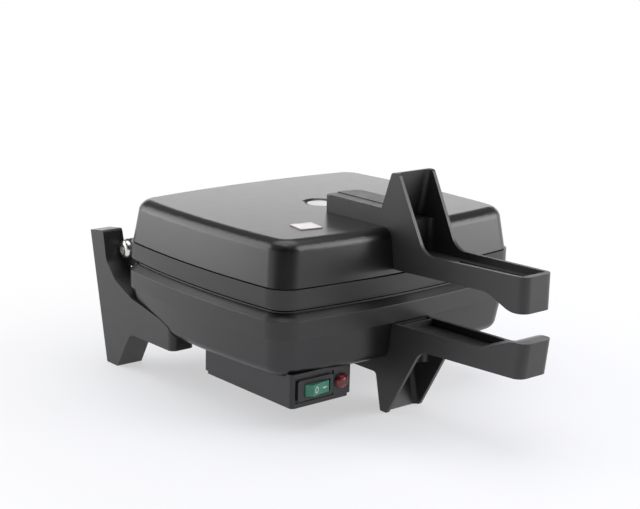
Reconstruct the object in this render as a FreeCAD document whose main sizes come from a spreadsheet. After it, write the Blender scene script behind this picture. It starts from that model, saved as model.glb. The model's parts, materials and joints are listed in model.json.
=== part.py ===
"""Double waffle maker: two cast plates in black covers on a back hinge, with a moulded handle on
each half, two rear stands, and a control box with a rocker switch and a lamp under the base.

Frame: +X to the right seen from the handle side, +Y to the back, +Z up. The origin is on the floor
under the middle of the whole object. The sizes below count Y from the middle of the body, and each
finished node is moved from there to the frame's origin. Millimetres.
"""
import FreeCAD, Part
import math
import os
import Sketcher

# Driving sizes, in millimetres and degrees
SIZES = {
    # body in plan: a rectangle with bowed sides
    "half_width": 115.0,
    "half_depth": 99.4,
    "side_bow": 6.0,
    "front_bow": 8.4,
    "corner_radius": 18.0,
    "shell_wall": 2.5,
    "draft_angle": 8.5,
    "edge_round": 9.0,
    # heights of the body
    "parting": 85.5,
    "shell_reach": 46.9,
    "seam_above": 16.0,
    "seam_gap": 0.5,
    "lower_seam_below": 19.2,
    # plates
    "band_proud": 1.4,
    "upper_band_start": 3.5,
    "lower_band_start": 1.5,
    "lower_band_proud": 0.5,
    "band_chamfer": 4.5,
    "rim_gap": 0.3,
    "plate_floor": 5.0,
    "waffle_depth": 9.0,
    "stud_height": 6.0,
    "stud_base": 17.0,
    "stud_top": 12.5,
    "stud_pitch": 22.5,
    "waffle_width": 92.0,
    "waffle_length": 138.0,
    "waffle_spread": 50.0,
    "spigot_height": 4.0,
    "spigot_wall": 2.5,
    "fit_gap": 0.3,
    # heaters inside the two halves
    "heater_diameter": 6.5,
    "heater_width": 150.0,
    "heater_length": 120.0,
    "heater_bend": 12.0,
    "heater_tail": 34.0,
    "heater_tail_length": 24.0,
    "clamp_width": 16.0,
    "clamp_thickness": 2.0,
    "sheet_thickness": 1.2,
    "sheet_inset": 12.0,
    "bar_diameter": 6.0,
    "bar_boss": 14.0,
    # central nut, its dish and its disc in the lid
    "dish_radius": 13.5,
    "dish_depth": 1.8,
    "disc_radius": 9.8,
    "disc_thickness": 1.0,
    "nut_width": 10.0,
    "nut_height": 5.0,
    "nut_well": 12.5,
    "jam_nut_height": 2.4,
    # blank plate on the lid, its middle from the left and front of the body
    "label_x": 54.0,
    "label_y": 41.9,
    "label_width": 16.8,
    "label_length": 16.6,
    "label_thickness": 0.6,
    "label_turn": -11.0,
    # handles: heights from the parting plane, places along Y from the front of the body
    "grip_half_width": 17.0,
    "tip_half_width": 13.6,
    "arm_back": 76.4,
    "arm_rise": 11.6,
    "panel_inset": 1.6,
    "panel_rise": 0.4,
    "spine_width": 9.0,
    "fin_back_foot": 14.8,
    "fin_back_top": 5.4,
    "fin_front_top": -1.4,
    "leg_setback": 3.6,
    "fin_front_foot": -27.9,
    "grip_outer": 33.6,
    "grip_inner": 19.2,
    "grip_rise": 3.5,
    "tip_end": -116.4,
    "tip_inner": 9.5,
    "ogee_start": -84.6,
    "ogee_end": -104.6,
    "tip_round": 6.5,
    "tip_lean": 3.0,
    "handle_wall": 2.6,
    "fin_foot_bend": 13.5,
    "fin_top_bend": 2.6,
    "foot_round": 1.0,
    "fin_web": 3.5,
    "web_lean": 7.0,
    "recess_bend": 4.0,
    "recess_step": 52.0,
    "channel_depth": 5.0,
    "channel_end": 5.0,
    "ridge_spread": 4.5,
    "ridge_size": 1.2,
    "rib_setback": 6.0,
    "rib_thickness": 2.0,
    "ogee_bend": 20.0,
    "arm_bend": 3.0,
    "rise_start": -7.2,
    "handle_screw": 5.0,
    "handle_screw_head": 9.5,
    "handle_bore_front": 39.4,
    "handle_bore_back": 57.4,
    "screw_boss": 10.0,
    "screw_head_height": 3.0,
    "head_clearance": 1.2,
    "screw_grip": 8.0,
    # rear stands: insets from the side of the body, places along Y from the hinge axis,
    # heights from the parting plane, the arm's bottom from the shell's
    "stand_outer": 3.5,
    "stand_foot_width": 22.0,
    "stand_top_width": 17.0,
    "stand_top_front": 11.2,
    "stand_top_height": 16.8,
    "stand_top_depth": 17.6,
    "stand_top_drop": 2.5,
    "stand_front_low": 6.9,
    "stand_front_height": -5.5,
    "stand_web_y": -26.8,
    "stand_web_z": -27.8,
    "stand_heel": 7.1,
    "foot_front": -7.3,
    "foot_arch_y": -25.4,
    "stand_arm_bottom": -9.1,
    "stand_arm_end": -79.9,
    "stand_bend_y": -5.8,
    "stand_bend_z": -18.9,
    "stand_bend": 10.0,
    "stand_arch": 6.0,
    "stand_round": 2.0,
    "stand_end_round": 5.0,
    "stand_wall": 3.0,
    "stand_screw": 4.0,
    "stand_screw_head": 8.0,
    "stand_screw_x": 16.5,
    "stand_bore_back": -37.9,
    "stand_bore_front": -65.9,
    # hinge: its axis from the back of the body and the parting plane, its lugs from the side
    "hinge_y": 10.5,
    "hinge_z": 2.5,
    "bolt_diameter": 8.0,
    "bolt_clearance": 0.1,
    "bolt_head": 15.0,
    "bolt_head_height": 4.4,
    "bolt_head_rim": 1.2,
    "bolt_socket": 5.0,
    "bolt_socket_depth": 2.6,
    "lug_outer": 18.0,
    "lug_thickness": 7.0,
    "side_play": 0.15,
    "lug_radius": 8.0,
    "lug_arm_depth": 12.0,
    "washer_diameter": 15.0,
    "washer_thickness": 1.0,
    "hinge_nut": 13.0,
    "hinge_nut_height": 6.5,
    "bush_wall": 1.0,
    # control box: places from the left and front of the body, heights from the shell's bottom
    "box_left": 17.2,
    "box_right": 70.5,
    "box_front": 9.2,
    "box_back": 108.8,
    "box_bottom": -19.1,
    "box_lip": 1.6,
    "lip_height": 1.4,
    "lip_proud": 0.8,
    "box_wall": 2.0,
    "box_corner": 3.0,
    "lid_plate_thickness": 2.6,
    "lid_plate_inset": 1.2,
    "box_screw": 3.0,
    "box_screw_head": 5.6,
    "box_post_edge": 4.6,
    "box_post_front": 48.0,
    "box_post_back": 12.0,
    # rocker switch
    "bezel_left": 21.6,
    "bezel_width": 31.0,
    "bezel_height": 14.6,
    "bezel_center": -9.2,
    "bezel_thickness": 1.6,
    "pocket_margin": 1.5,
    "pocket_depth": 1.0,
    "switch_hole_width": 28.0,
    "switch_hole_height": 12.0,
    "switch_depth": 20.0,
    "opening_width": 22.8,
    "opening_height": 8.6,
    "opening_center": 38.3,
    "opening_lip": 1.0,
    "rocker_gap": 0.3,
    "rocker_face": 15.6,
    "rocker_crown": 2.8,
    "rocker_lift": 3.2,
    "rocker_depth": 4.1,
    "rocker_tilt": 9.0,
    "cavity_depth": 12.0,
    "axle_depth": 3.0,
    "axle_diameter": 3.0,
    "axle_reach": 1.4,
    "terminal_width": 4.8,
    "terminal_thickness": 0.8,
    "terminal_length": 8.0,
    "terminal_pitch": 8.0,
    # indicator
    "lens_x": 60.4,
    "lens_z": -8.8,
    "lens_diameter": 11.2,
    "lens_dome": 3.0,
    "lens_rim": 1.0,
    "lens_stem": 8.6,
    "lens_stem_length": 6.0,
    "lamp_diameter": 8.0,
    "lamp_length": 22.0,
    # wiring parts in the box
    "block_length": 30.0,
    "block_width": 16.0,
    "block_height": 9.0,
    "block_y": 79.4,
    "gland_x": 43.0,
    "gland_z": -8.6,
    "gland_diameter": 12.0,
    "gland_bore": 7.4,
    "gland_flange": 17.0,
    "gland_length": 16.0,
    "lead_diameter": 2.4,
    "lead_bend": 6.0,
    "thermostat_diameter": 16.0,
    "thermostat_height": 9.0,
    "wire_hole": 12.0,
    "wire_hole_x": 43.0,
    "wire_hole_y": 51.4,
    "fuse_diameter": 5.0,
    "fuse_length": 16.0,
}

doc = FreeCAD.newDocument("DoubleWaffleMaker")
sheet = doc.addObject("Spreadsheet::Sheet", "Sizes")
for row, (alias, size) in enumerate(SIZES.items(), start=1):
    sheet.set("A%d" % row, alias)
    sheet.set("B%d" % row, str(size))
    sheet.setAlias("B%d" % row, alias)
doc.recompute()


class Dim:
    """A size that knows its number and the sheet expression that gives it."""

    def __init__(self, value, text):
        self.value = value
        self.text = text

    def __add__(self, other):
        other = dim(other)
        return Dim(self.value + other.value, "(%s + %s)" % (self.text, other.text))

    def __sub__(self, other):
        other = dim(other)
        return Dim(self.value - other.value, "(%s - %s)" % (self.text, other.text))

    def __mul__(self, other):
        other = dim(other)
        return Dim(self.value * other.value, "(%s * %s)" % (self.text, other.text))

    def __truediv__(self, other):
        other = dim(other)
        return Dim(self.value / other.value, "(%s / %s)" % (self.text, other.text))

    def __neg__(self):
        return Dim(-self.value, "(0 - %s)" % self.text)


def dim(size):
    """A Dim from a size's name, a number or a Dim."""
    if isinstance(size, Dim):
        return size
    if isinstance(size, str):
        return D[size]
    return Dim(float(size), "%.9g" % size)


def tangent(angle):
    return Dim(math.tan(math.radians(angle.value)), "tan(%s * 1 deg)" % angle.text)


def root(size):
    return Dim(math.sqrt(size.value), "sqrt(%s)" % size.text)


def measure_from(datum, aliases):
    """Turn sizes that are given from a datum into places in the part."""
    for alias in aliases.split():
        D[alias] = datum + D[alias]


# Places that are given from the body's faces, the parting plane, the shell or the hinge axis
D = {alias: Dim(float(size), "Sizes.%s" % alias) for alias, size in SIZES.items()}
lid_top = D["parting"] + D["shell_reach"]
shell_bottom = D["parting"] - D["shell_reach"]
measure_from(-D["half_width"], "box_left box_right bezel_left opening_center lens_x gland_x wire_hole_x "
             "label_x")
measure_from(-D["half_depth"], "arm_back fin_back_foot fin_back_top fin_front_top fin_front_foot tip_end "
             "ogee_start ogee_end rise_start handle_bore_front handle_bore_back box_front box_back "
             "wire_hole_y block_y label_y")
measure_from(D["half_depth"], "hinge_y")
measure_from(D["hinge_y"], "stand_top_front stand_front_low stand_heel foot_front foot_arch_y stand_bend_y "
             "stand_web_y stand_arm_end stand_bore_back stand_bore_front")
measure_from(D["parting"], "hinge_z stand_top_height stand_front_height stand_bend_z stand_web_z")
measure_from(shell_bottom, "stand_arm_bottom box_bottom box_lip bezel_center lens_z gland_z")
for alias in ("stand_outer", "stand_screw_x", "lug_outer"):
    D[alias] = D["half_width"] - D[alias]

# Sizes that follow from the driving ones; both handles are one moulding whose leg reaches the floor
fin_reach = D["parting"]
band_bottom = D["parting"] + D["upper_band_start"]
lower_band_top = D["parting"] - D["lower_band_start"]
floor_height = D["rim_gap"] + D["waffle_depth"] + D["plate_floor"]
rim_inset = D["shell_wall"] + D["spigot_height"] * tangent(D["draft_angle"]) + D["fit_gap"]


def bind(obj, prop, size):
    """Set a property to a size and tie it to the sheet."""
    size = dim(size)
    setattr(obj, prop, size.value)
    obj.setExpression(prop, size.text)


def place(obj, x, y, z, rotation=None):
    """Place an object at a point whose coordinates are tied to the sheet."""
    x, y, z = dim(x), dim(y), dim(z)
    base = FreeCAD.Vector(x.value, y.value, z.value)
    obj.Placement = FreeCAD.Placement(base, rotation or FreeCAD.Rotation())
    for axis, size in (("x", x), ("y", y), ("z", z)):
        obj.setExpression("Placement.Base.%s" % axis, size.text)


# How near an edge lies to a place to count as there
NEAR = 0.01

ALONG_X = FreeCAD.Rotation(FreeCAD.Vector(0, 1, 0), 90)
ALONG_Y = FreeCAD.Rotation(FreeCAD.Vector(1, 0, 0), -90)
ALONG_MINUS_Y = FreeCAD.Rotation(FreeCAD.Vector(1, 0, 0), 90)
ALONG_Z = FreeCAD.Rotation()


def block(label, x0, x1, y0, y1, z0, z1):
    """A box between two corners."""
    box = doc.addObject("Part::Box", label)
    bind(box, "Length", dim(x1) - dim(x0))
    bind(box, "Width", dim(y1) - dim(y0))
    bind(box, "Height", dim(z1) - dim(z0))
    place(box, x0, y0, z0)
    return box


def rod(label, x, y, z, diameter, length, rotation=ALONG_Z):
    """A cylinder that starts at a point and runs along the rotated Z axis."""
    cylinder = doc.addObject("Part::Cylinder", label)
    bind(cylinder, "Radius", dim(diameter) / 2)
    bind(cylinder, "Height", length)
    place(cylinder, x, y, z, rotation)
    return cylinder


def cone(label, x, y, z, start, end, length, rotation=ALONG_Z):
    """A cone frustum from a start diameter to an end diameter."""
    frustum = doc.addObject("Part::Cone", label)
    bind(frustum, "Radius1", dim(start) / 2)
    bind(frustum, "Radius2", dim(end) / 2)
    bind(frustum, "Height", length)
    place(frustum, x, y, z, rotation)
    return frustum


def hexagon(label, x, y, z, flats, length, rotation=ALONG_Z):
    """A hexagonal prism, sized across its flats."""
    prism = doc.addObject("Part::Prism", label)
    prism.Polygon = 6
    bind(prism, "Circumradius", dim(flats) / math.sqrt(3))
    bind(prism, "Height", length)
    place(prism, x, y, z, rotation)
    return prism


def fuse(label, shapes):
    union = doc.addObject("Part::MultiFuse", label)
    union.Shapes = shapes
    union.Refine = True
    return union


def cut(label, base, tools):
    """The base less one tool or several."""
    tool = tools[0] if len(tools) == 1 else fuse(label + "_tools", tools)
    difference = doc.addObject("Part::Cut", label)
    difference.Base = base
    difference.Tool = tool
    difference.Refine = True
    return difference


def common(label, first, second):
    shared = doc.addObject("Part::Common", label)
    shared.Base = first
    shared.Tool = second
    shared.Refine = True
    return shared


def group(label, shapes):
    """Several like pieces in one node."""
    compound = doc.addObject("Part::Compound", label)
    compound.Links = shapes
    return compound


def outline_sketch(body, plane, points, arcs=None, offset=None):
    """A closed sketch on one of the body's own planes. points are (across, up) pairs of sizes;
    arcs gives, for an edge that starts at a point's index, the radius with which it bulges to its
    right, which is outward where the points run anticlockwise."""
    arcs = arcs or {}
    sketch = body.newObject("Sketcher::SketchObject", body.Name + "_outline")
    origin_plane = [f for f in body.Origin.OriginFeatures if f.Role == plane][0]
    sketch.AttachmentSupport = [(origin_plane, "")]
    sketch.MapMode = "FlatFace"
    if offset is not None:
        sketch.setExpression("AttachmentOffset.Base.z", dim(offset).text)
    points = [(dim(a), dim(b)) for a, b in points]
    vectors = [FreeCAD.Vector(a.value, b.value, 0) for a, b in points]
    count = len(points)
    for i in range(count):
        start, end = vectors[i], vectors[(i + 1) % count]
        if i in arcs:
            radius = dim(arcs[i])
            chord = end - start
            half = chord.Length / 2
            rise = radius.value - math.sqrt(radius.value ** 2 - half ** 2)
            normal = FreeCAD.Vector(chord.y, -chord.x, 0).normalize()
            middle = (start + end) * 0.5 + normal * rise
            sketch.addGeometry(Part.Arc(start, middle, end), False)
        else:
            sketch.addGeometry(Part.LineSegment(start, end), False)
    for i in range(count):
        nxt = (i + 1) % count
        end_pos = end_position(sketch.Geometry[i], vectors[nxt])
        start_pos = end_position(sketch.Geometry[nxt], vectors[nxt])
        sketch.addConstraint(Sketcher.Constraint("Coincident", i, end_pos, nxt, start_pos))
    for i, (across, up) in enumerate(points):
        pos = end_position(sketch.Geometry[i], vectors[i])
        for kind, size in (("DistanceX", across), ("DistanceY", up)):
            index = sketch.addConstraint(Sketcher.Constraint(kind, -1, 1, i, pos, size.value))
            sketch.setExpression("Constraints[%d]" % index, size.text)
    for i, radius in arcs.items():
        index = sketch.addConstraint(Sketcher.Constraint("Radius", i, dim(radius).value))
        sketch.setExpression("Constraints[%d]" % index, dim(radius).text)
    return sketch


def end_position(geometry, vector):
    """1 for the start point of a line or arc, 2 for its end point."""
    near_start = (geometry.StartPoint - vector).Length < (geometry.EndPoint - vector).Length
    return 1 if near_start else 2


def padded(label, plane, points, start, length, arcs=None, taper=None, reverse=False):
    """A PartDesign body: one outline padded from a level on its plane's normal."""
    body = doc.addObject("PartDesign::Body", label)
    sketch = outline_sketch(body, plane, points, arcs, start)
    pad = body.newObject("PartDesign::Pad", label + "_pad")
    pad.Profile = sketch
    bind(pad, "Length", length)
    pad.Reversed = reverse
    if taper is not None:
        bind(pad, "TaperAngle", taper)
    body.Tip = pad
    return body


def turned(label, points, x, y, z, rotation=ALONG_Z, arcs=None):
    """A PartDesign body turned about its own Z axis; points are (radius, height) pairs."""
    body = doc.addObject("PartDesign::Body", label)
    sketch = outline_sketch(body, "XZ_Plane", points, arcs)
    revolution = body.newObject("PartDesign::Revolution", label + "_turn")
    revolution.Profile = sketch
    revolution.ReferenceAxis = (sketch, ["V_Axis"])
    revolution.Angle = 360
    body.Tip = revolution
    place(body, x, y, z, rotation)
    return body


def rounded(label, base, radius, chosen):
    """Round the edges of an object that the chosen test picks."""
    doc.recompute()
    fillet = doc.addObject("Part::Fillet", label)
    fillet.Base = base
    size = dim(radius).value
    edges = base.Shape.Edges
    fillet.Edges = [(i + 1, size, size) for i, edge in enumerate(edges) if chosen(edge)]
    return fillet


def upright(edge):
    """True for an edge that runs mostly up."""
    box = edge.BoundBox
    return box.ZLength > max(box.XLength, box.YLength)


def at_height(height):
    """A test for edges that lie at one height."""
    level = dim(height).value

    def chosen(edge):
        return abs(edge.BoundBox.ZMin - level) < NEAR and abs(edge.BoundBox.ZMax - level) < NEAR
    return chosen


def bowed_block(label, inset, start, height, taper=None, down=False):
    """A block with the body's bowed outline, its upright corners rounded."""
    inset = dim(inset)
    half_x = D["half_width"] - inset
    half_y = D["half_depth"] - inset
    corner_x = half_x - D["side_bow"]
    corner_y = half_y - D["front_bow"]
    side_radius = (corner_y * corner_y + D["side_bow"] * D["side_bow"]) / (D["side_bow"] * 2)
    front_radius = (corner_x * corner_x + D["front_bow"] * D["front_bow"]) / (D["front_bow"] * 2)
    points = [(-corner_x, -corner_y), (corner_x, -corner_y), (corner_x, corner_y), (-corner_x, corner_y)]
    arcs = {0: front_radius, 1: side_radius, 2: front_radius, 3: side_radius}
    body = padded(label + "_block", "XY_Plane", points, start, height, arcs, taper, down)
    return rounded(label, body, D["corner_radius"] - inset, upright)


nodes = {}
to_origin = -(D["tip_end"] - D["tip_lean"] + D["stand_top_front"] + D["stand_top_depth"]) / 2


def node(name, obj):
    """Name an object as one node of the part, and move it from the body's middle to the frame."""
    obj.Label = name
    own = dict(obj.ExpressionEngine).get("Placement.Base.y", "%.9g" % obj.Placement.Base.y)
    obj.setExpression("Placement.Base.y", "%s + %s" % (own, to_origin.text))
    nodes[name] = obj


def rounded_path(points, radius):
    """A wire of straight runs joined by tangent arcs of one radius."""
    vectors = [FreeCAD.Vector(*point) for point in points]
    edges = []
    last = vectors[0]
    for i in range(1, len(vectors) - 1):
        corner = vectors[i]
        back = (vectors[i - 1] - corner).normalize()
        ahead = (vectors[i + 1] - corner).normalize()
        half_turn = (math.pi - back.getAngle(ahead)) / 2
        reach = radius * math.tan(half_turn)
        first = corner + back * reach
        second = corner + ahead * reach
        toward = (back + ahead).normalize()
        middle = corner + toward * (radius / math.cos(half_turn) - radius)
        edges.append(Part.LineSegment(last, first).toShape())
        edges.append(Part.Arc(first, middle, second).toShape())
        last = second
    edges.append(Part.LineSegment(last, vectors[-1]).toShape())
    return Part.Wire(edges)


def tube(label, points, diameter, bend):
    """A round tube along straight runs and arcs."""
    path = rounded_path(points, bend)
    start = path.Edges[0]
    direction = start.tangentAt(start.FirstParameter)
    circle = Part.Circle(path.Vertexes[0].Point, direction, diameter / 2)
    shape = path.makePipeShell([Part.Wire([circle.toShape()])], True, False)
    feature = doc.addObject("Part::Feature", label)
    feature.Shape = shape
    return feature


def level(sign, height):
    """A height above the parting plane for the lid (sign 1), or as far below it for the base."""
    return D["parting"] + dim(height) * sign


def slab(label, sign, x0, x1, y0, y1, near, far):
    """A box between two heights, measured from the parting plane."""
    low, high = (near, far) if sign > 0 else (far, near)
    return block(label, x0, x1, y0, y1, level(sign, low), level(sign, high))


def post(label, sign, x, y, diameter, near, far):
    """An upright rod between two heights, measured from the parting plane."""
    near, far = dim(near), dim(far)
    return rod(label, x, y, level(sign, near if sign > 0 else far), diameter, far - near)


def bowed(label, sign, inset, near, far, taper=None):
    """A bowed block that grows away from the parting plane."""
    near, far = dim(near), dim(far)
    return bowed_block(label, inset, level(sign, near), far - near, taper, sign < 0)


SIDES = ((-1, "left"), (1, "right"))
HALVES = ((1, "upper"), (-1, "lower"))

# Heights from the parting plane that both halves use
cover_start = {1: D["seam_above"], -1: D["lower_seam_below"]}
boss_top = floor_height + D["heater_diameter"]
bar_top = boss_top + D["clamp_thickness"]
sheet_start = bar_top + D["nut_height"]
sheet_end = sheet_start + D["sheet_thickness"]
well_floor = D["shell_reach"] - D["dish_depth"] - D["nut_height"]
SCREW_PLACES = ("handle_bore_front", "handle_bore_back")


# Covers

def cover_outside(name, sign, grow):
    """The outside of a cover, grown sideways for what fits against it."""
    block_name = "%s_outside_%s" % (name, "fit" if grow else "sharp")
    outside = bowed(block_name, sign, -dim(grow), cover_start[sign], D["shell_reach"], -D["draft_angle"])
    return rounded(block_name + "_round", outside, "edge_round", at_height(level(sign, D["shell_reach"])))


def cover(name, sign, extra_bosses):
    """A pressed cover: its shell, the bosses inside it and the dish for its central nut."""
    outside = cover_outside(name, sign, 0)
    reach = D["shell_reach"] - D["shell_wall"]
    inside = bowed(name + "_inside_sharp", sign, "shell_wall", cover_start[sign], reach, -D["draft_angle"])
    inside = rounded(name + "_inside", inside, D["edge_round"] - D["shell_wall"], at_height(level(sign, reach)))
    hub = post(name + "_hub", sign, 0, 0, D["dish_radius"] * 2, well_floor - D["shell_wall"], D["shell_reach"])
    dish_floor = D["shell_reach"] - D["dish_depth"]
    narrow = (D["disc_radius"] + D["fit_gap"]) * 2
    wide = D["dish_radius"] * 2
    low = level(sign, dish_floor if sign > 0 else D["shell_reach"])
    first, second = (narrow, wide) if sign > 0 else (wide, narrow)
    dish = cone(name + "_dish", 0, 0, low, first, second, D["dish_depth"])
    well = post(name + "_well", sign, 0, 0, D["nut_well"], well_floor, D["shell_reach"])
    clear = D["fit_gap"] * 2
    holes = [post(name + "_bar_hole", sign, 0, 0, D["bar_diameter"] + clear, floor_height, D["shell_reach"])]
    for i, screw_place in enumerate(SCREW_PLACES):
        holes.append(post("%s_screw_hole_%d" % (name, i), sign, 0, D[screw_place],
                          D["handle_screw"] + clear, floor_height, D["shell_reach"]))
    shell = cut(name + "_shell", outside, [inside])
    bosses = common(name + "_bosses", fuse(name + "_boss_set", [hub] + extra_bosses),
                    outside) if extra_bosses else hub
    return fuse(name + "_solid", [shell, bosses]), [dish, well] + holes


lid_solid, lid_holes = cover("upper_cover", 1, [])
node("upper_cover", cut("upper_cover_cut", lid_solid, lid_holes))

stand_bosses = []
stand_bores = []
for side, name in SIDES:
    for i, screw_place in enumerate(("stand_bore_front", "stand_bore_back")):
        spot = (D["stand_screw_x"] * side, D[screw_place])
        deep = D["shell_reach"] - D["shell_wall"] - D["screw_grip"]
        tag = "%s_%d" % (name, i)
        stand_bosses.append(post("stand_boss_" + tag, -1, *spot, "screw_boss", deep, D["shell_reach"]))
        stand_bores.append(post("stand_bore_" + tag, -1, *spot, "stand_screw", deep, D["shell_reach"]))
wire_hole = post("wire_hole_bore", -1, D["wire_hole_x"], D["wire_hole_y"], "wire_hole", floor_height,
                 D["shell_reach"])
base_solid, base_holes = cover("lower_cover", -1, stand_bosses)
node("lower_cover", cut("lower_cover_cut", base_solid, base_holes + stand_bores + [wire_hole]))

node("lid_disc", turned("lid_disc_turned", [
    (0, 0), (D["disc_radius"], 0), (D["disc_radius"], D["disc_thickness"]), (0, D["disc_thickness"])],
    0, 0, lid_top - D["dish_depth"]))

label_block = block("label_block", -D["label_width"] / 2, D["label_width"] / 2, -D["label_length"] / 2,
                    D["label_length"] / 2, 0, D["label_thickness"])
label = rounded("blank_label_round", label_block, "label_thickness", upright)
place(label, "label_x", "label_y", lid_top, FreeCAD.Rotation(FreeCAD.Vector(0, 0, 1), 1))
label.setExpression("Placement.Rotation.Angle", "Sizes.label_turn * 1 deg")
node("blank_label", label)


# Plates

STUD_COLUMNS = 4
STUD_ROWS = 6


def stud(label, x, y, sign):
    """A square stud with sloping sides that stands on its mould's floor."""
    wedge = doc.addObject("Part::Wedge", label)
    half_base = D["stud_base"] / 2
    half_top = D["stud_top"] / 2
    sunk = D["fit_gap"]
    for prop, size in (("Xmin", -half_base), ("Xmax", half_base), ("Zmin", -half_base), ("Zmax", half_base),
                       ("Ymin", dim(0)), ("Ymax", D["stud_height"] + sunk), ("X2min", -half_top),
                       ("X2max", half_top), ("Z2min", -half_top), ("Z2max", half_top)):
        bind(wedge, prop, size)
    # a wedge grows along its own Y, so it is turned to grow towards the parting plane
    toward = FreeCAD.Rotation(FreeCAD.Vector(1, 0, 0), -90 * sign)
    place(wedge, x, y, level(sign, D["rim_gap"] + D["waffle_depth"] + sunk), toward)
    return wedge


def waffle_moulds(prefix, sign):
    """The two moulds of a plate, and the studs that stand in them."""
    moulds = []
    studs = []
    half_x = D["waffle_width"] / 2
    half_y = D["waffle_length"] / 2
    for side, name in SIDES:
        middle = D["waffle_spread"] * side
        moulds.append(slab("%s_mould_%s" % (prefix, name), sign, middle - half_x, middle + half_x,
                           -half_y, half_y, 0, D["rim_gap"] + D["waffle_depth"]))
        for i in range(STUD_COLUMNS):
            for j in range(STUD_ROWS):
                x = middle + D["stud_pitch"] * (i - (STUD_COLUMNS - 1) / 2)
                y = D["stud_pitch"] * (j - (STUD_ROWS - 1) / 2)
                studs.append(stud("%s_stud_%s_%d_%d" % (prefix, name, i, j), x, y, sign))
    return moulds, studs


# Where each hinge piece starts on the X axis, outward from the middle
lower_lug_start = D["lug_outer"] - D["lug_thickness"]
washer_start = lower_lug_start - D["side_play"] - D["washer_thickness"]
upper_lug_start = washer_start - D["side_play"] - D["lug_thickness"]
nut_start = upper_lug_start - D["side_play"] - D["hinge_nut_height"]
lug_starts = {1: upper_lug_start, -1: lower_lug_start}


def ring(label, side, start, length, outer, inner):
    """A ring on the hinge axis; start is its inner end, measured outward from the middle."""
    near = hinge_rod(label + "_outside", side, start, length, outer)
    bore = hinge_rod(label + "_inside", side, start - D["side_play"], length + D["side_play"] * 2, inner)
    return cut(label, near, [bore])


def hinge_rod(label, side, start, length, diameter):
    """A rod on the hinge axis."""
    left_end = start if side > 0 else -(start + length)
    return rod(label, left_end, "hinge_y", "hinge_z", diameter, length, ALONG_X)


def lugs(prefix, sign):
    """Both hinge lugs of a plate: a round boss on the axis and an arm into the plate's back wall."""
    pieces = []
    root_y = D["half_depth"] - D["corner_radius"]
    for side, name in SIDES:
        start = lug_starts[sign]
        left_end = start if side > 0 else -(start + D["lug_thickness"])
        pieces.append(hinge_rod("%s_lug_%s" % (prefix, name), side, start, D["lug_thickness"],
                                D["lug_radius"] * 2))
        if sign > 0:
            low, high = band_bottom, D["hinge_z"] + D["lug_radius"]
        else:
            low, high = D["hinge_z"] - D["lug_arm_depth"], lower_band_top
        pieces.append(block("%s_lug_arm_%s" % (prefix, name), left_end, left_end + D["lug_thickness"],
                            root_y, "hinge_y", low, high))
    return pieces


def lug_bores(prefix, sign):
    """The holes through a plate's lugs: the lid's take bushes."""
    diameter = D["bolt_diameter"] + D["bush_wall"] * 2 if sign > 0 else D["bolt_diameter"]
    return [hinge_rod("%s_lug_bore_%s" % (prefix, name), side, lug_starts[sign] - D["fit_gap"],
                      D["lug_thickness"] + D["fit_gap"] * 2, diameter) for side, name in SIDES]


def plate(prefix, sign, band):
    """A cast plate: its edge band, its rim and floor, its boss, the moulds and studs, and the lugs."""
    rim_end = cover_start[sign] + D["spigot_height"]
    rim = bowed(prefix + "_rim", sign, rim_inset, "rim_gap", rim_end)
    pan = bowed(prefix + "_pan", sign, rim_inset + D["spigot_wall"], floor_height, rim_end + D["fit_gap"])
    moulds, studs = waffle_moulds(prefix, sign)
    body = cut(prefix + "_body", fuse(prefix + "_casting", [band, rim] + lugs(prefix, sign)),
               moulds + [pan] + lug_bores(prefix, sign))
    boss = post(prefix + "_bar_boss", sign, 0, 0, "bar_boss", floor_height - D["fit_gap"], boss_top)
    bore = post(prefix + "_bar_bore", sign, 0, 0, "bar_diameter", floor_height, boss_top + D["fit_gap"])
    whole = fuse(prefix + "_whole", [body, boss] + studs)
    node(prefix + "_plate", cut(prefix + "_plate_cut", whole, [bore]))


upper_band = bowed("upper_band", 1, -D["band_proud"], "upper_band_start", cover_start[1] - D["seam_gap"])
plate("upper", 1, upper_band)
lower_band = bowed("lower_band_sharp", -1, -(D["band_proud"] + D["lower_band_proud"]), "lower_band_start",
                   cover_start[-1] - D["seam_gap"])
doc.recompute()
lower_chamfer = doc.addObject("Part::Chamfer", "lower_band")
lower_chamfer.Base = lower_band
on_top = at_height(lower_band_top)
lower_chamfer.Edges = [(i + 1, D["band_chamfer"].value, D["band_chamfer"].value)
                       for i, edge in enumerate(lower_band.Shape.Edges) if on_top(edge)]
plate("lower", -1, lower_chamfer)


# Heater, clamp bar, heat shield and central bar of each half

def heater(prefix, sign):
    """A tubular heater that lies on the plate in one loop, its two ends at the back."""
    half_x = D["heater_width"].value / 2
    half_y = D["heater_length"].value / 2
    inner = D["heater_tail"].value / 2
    tail = half_y + D["heater_tail_length"].value
    height = level(sign, floor_height + D["heater_diameter"] / 2).value
    corners = [(-inner, tail), (-inner, half_y), (-half_x, half_y), (-half_x, -half_y),
               (half_x, -half_y), (half_x, half_y), (inner, half_y), (inner, tail)]
    node(prefix + "_heating_element",
         tube(prefix + "_heater_tube", [(x, y, height) for x, y in corners],
              D["heater_diameter"].value, D["heater_bend"].value))


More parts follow.
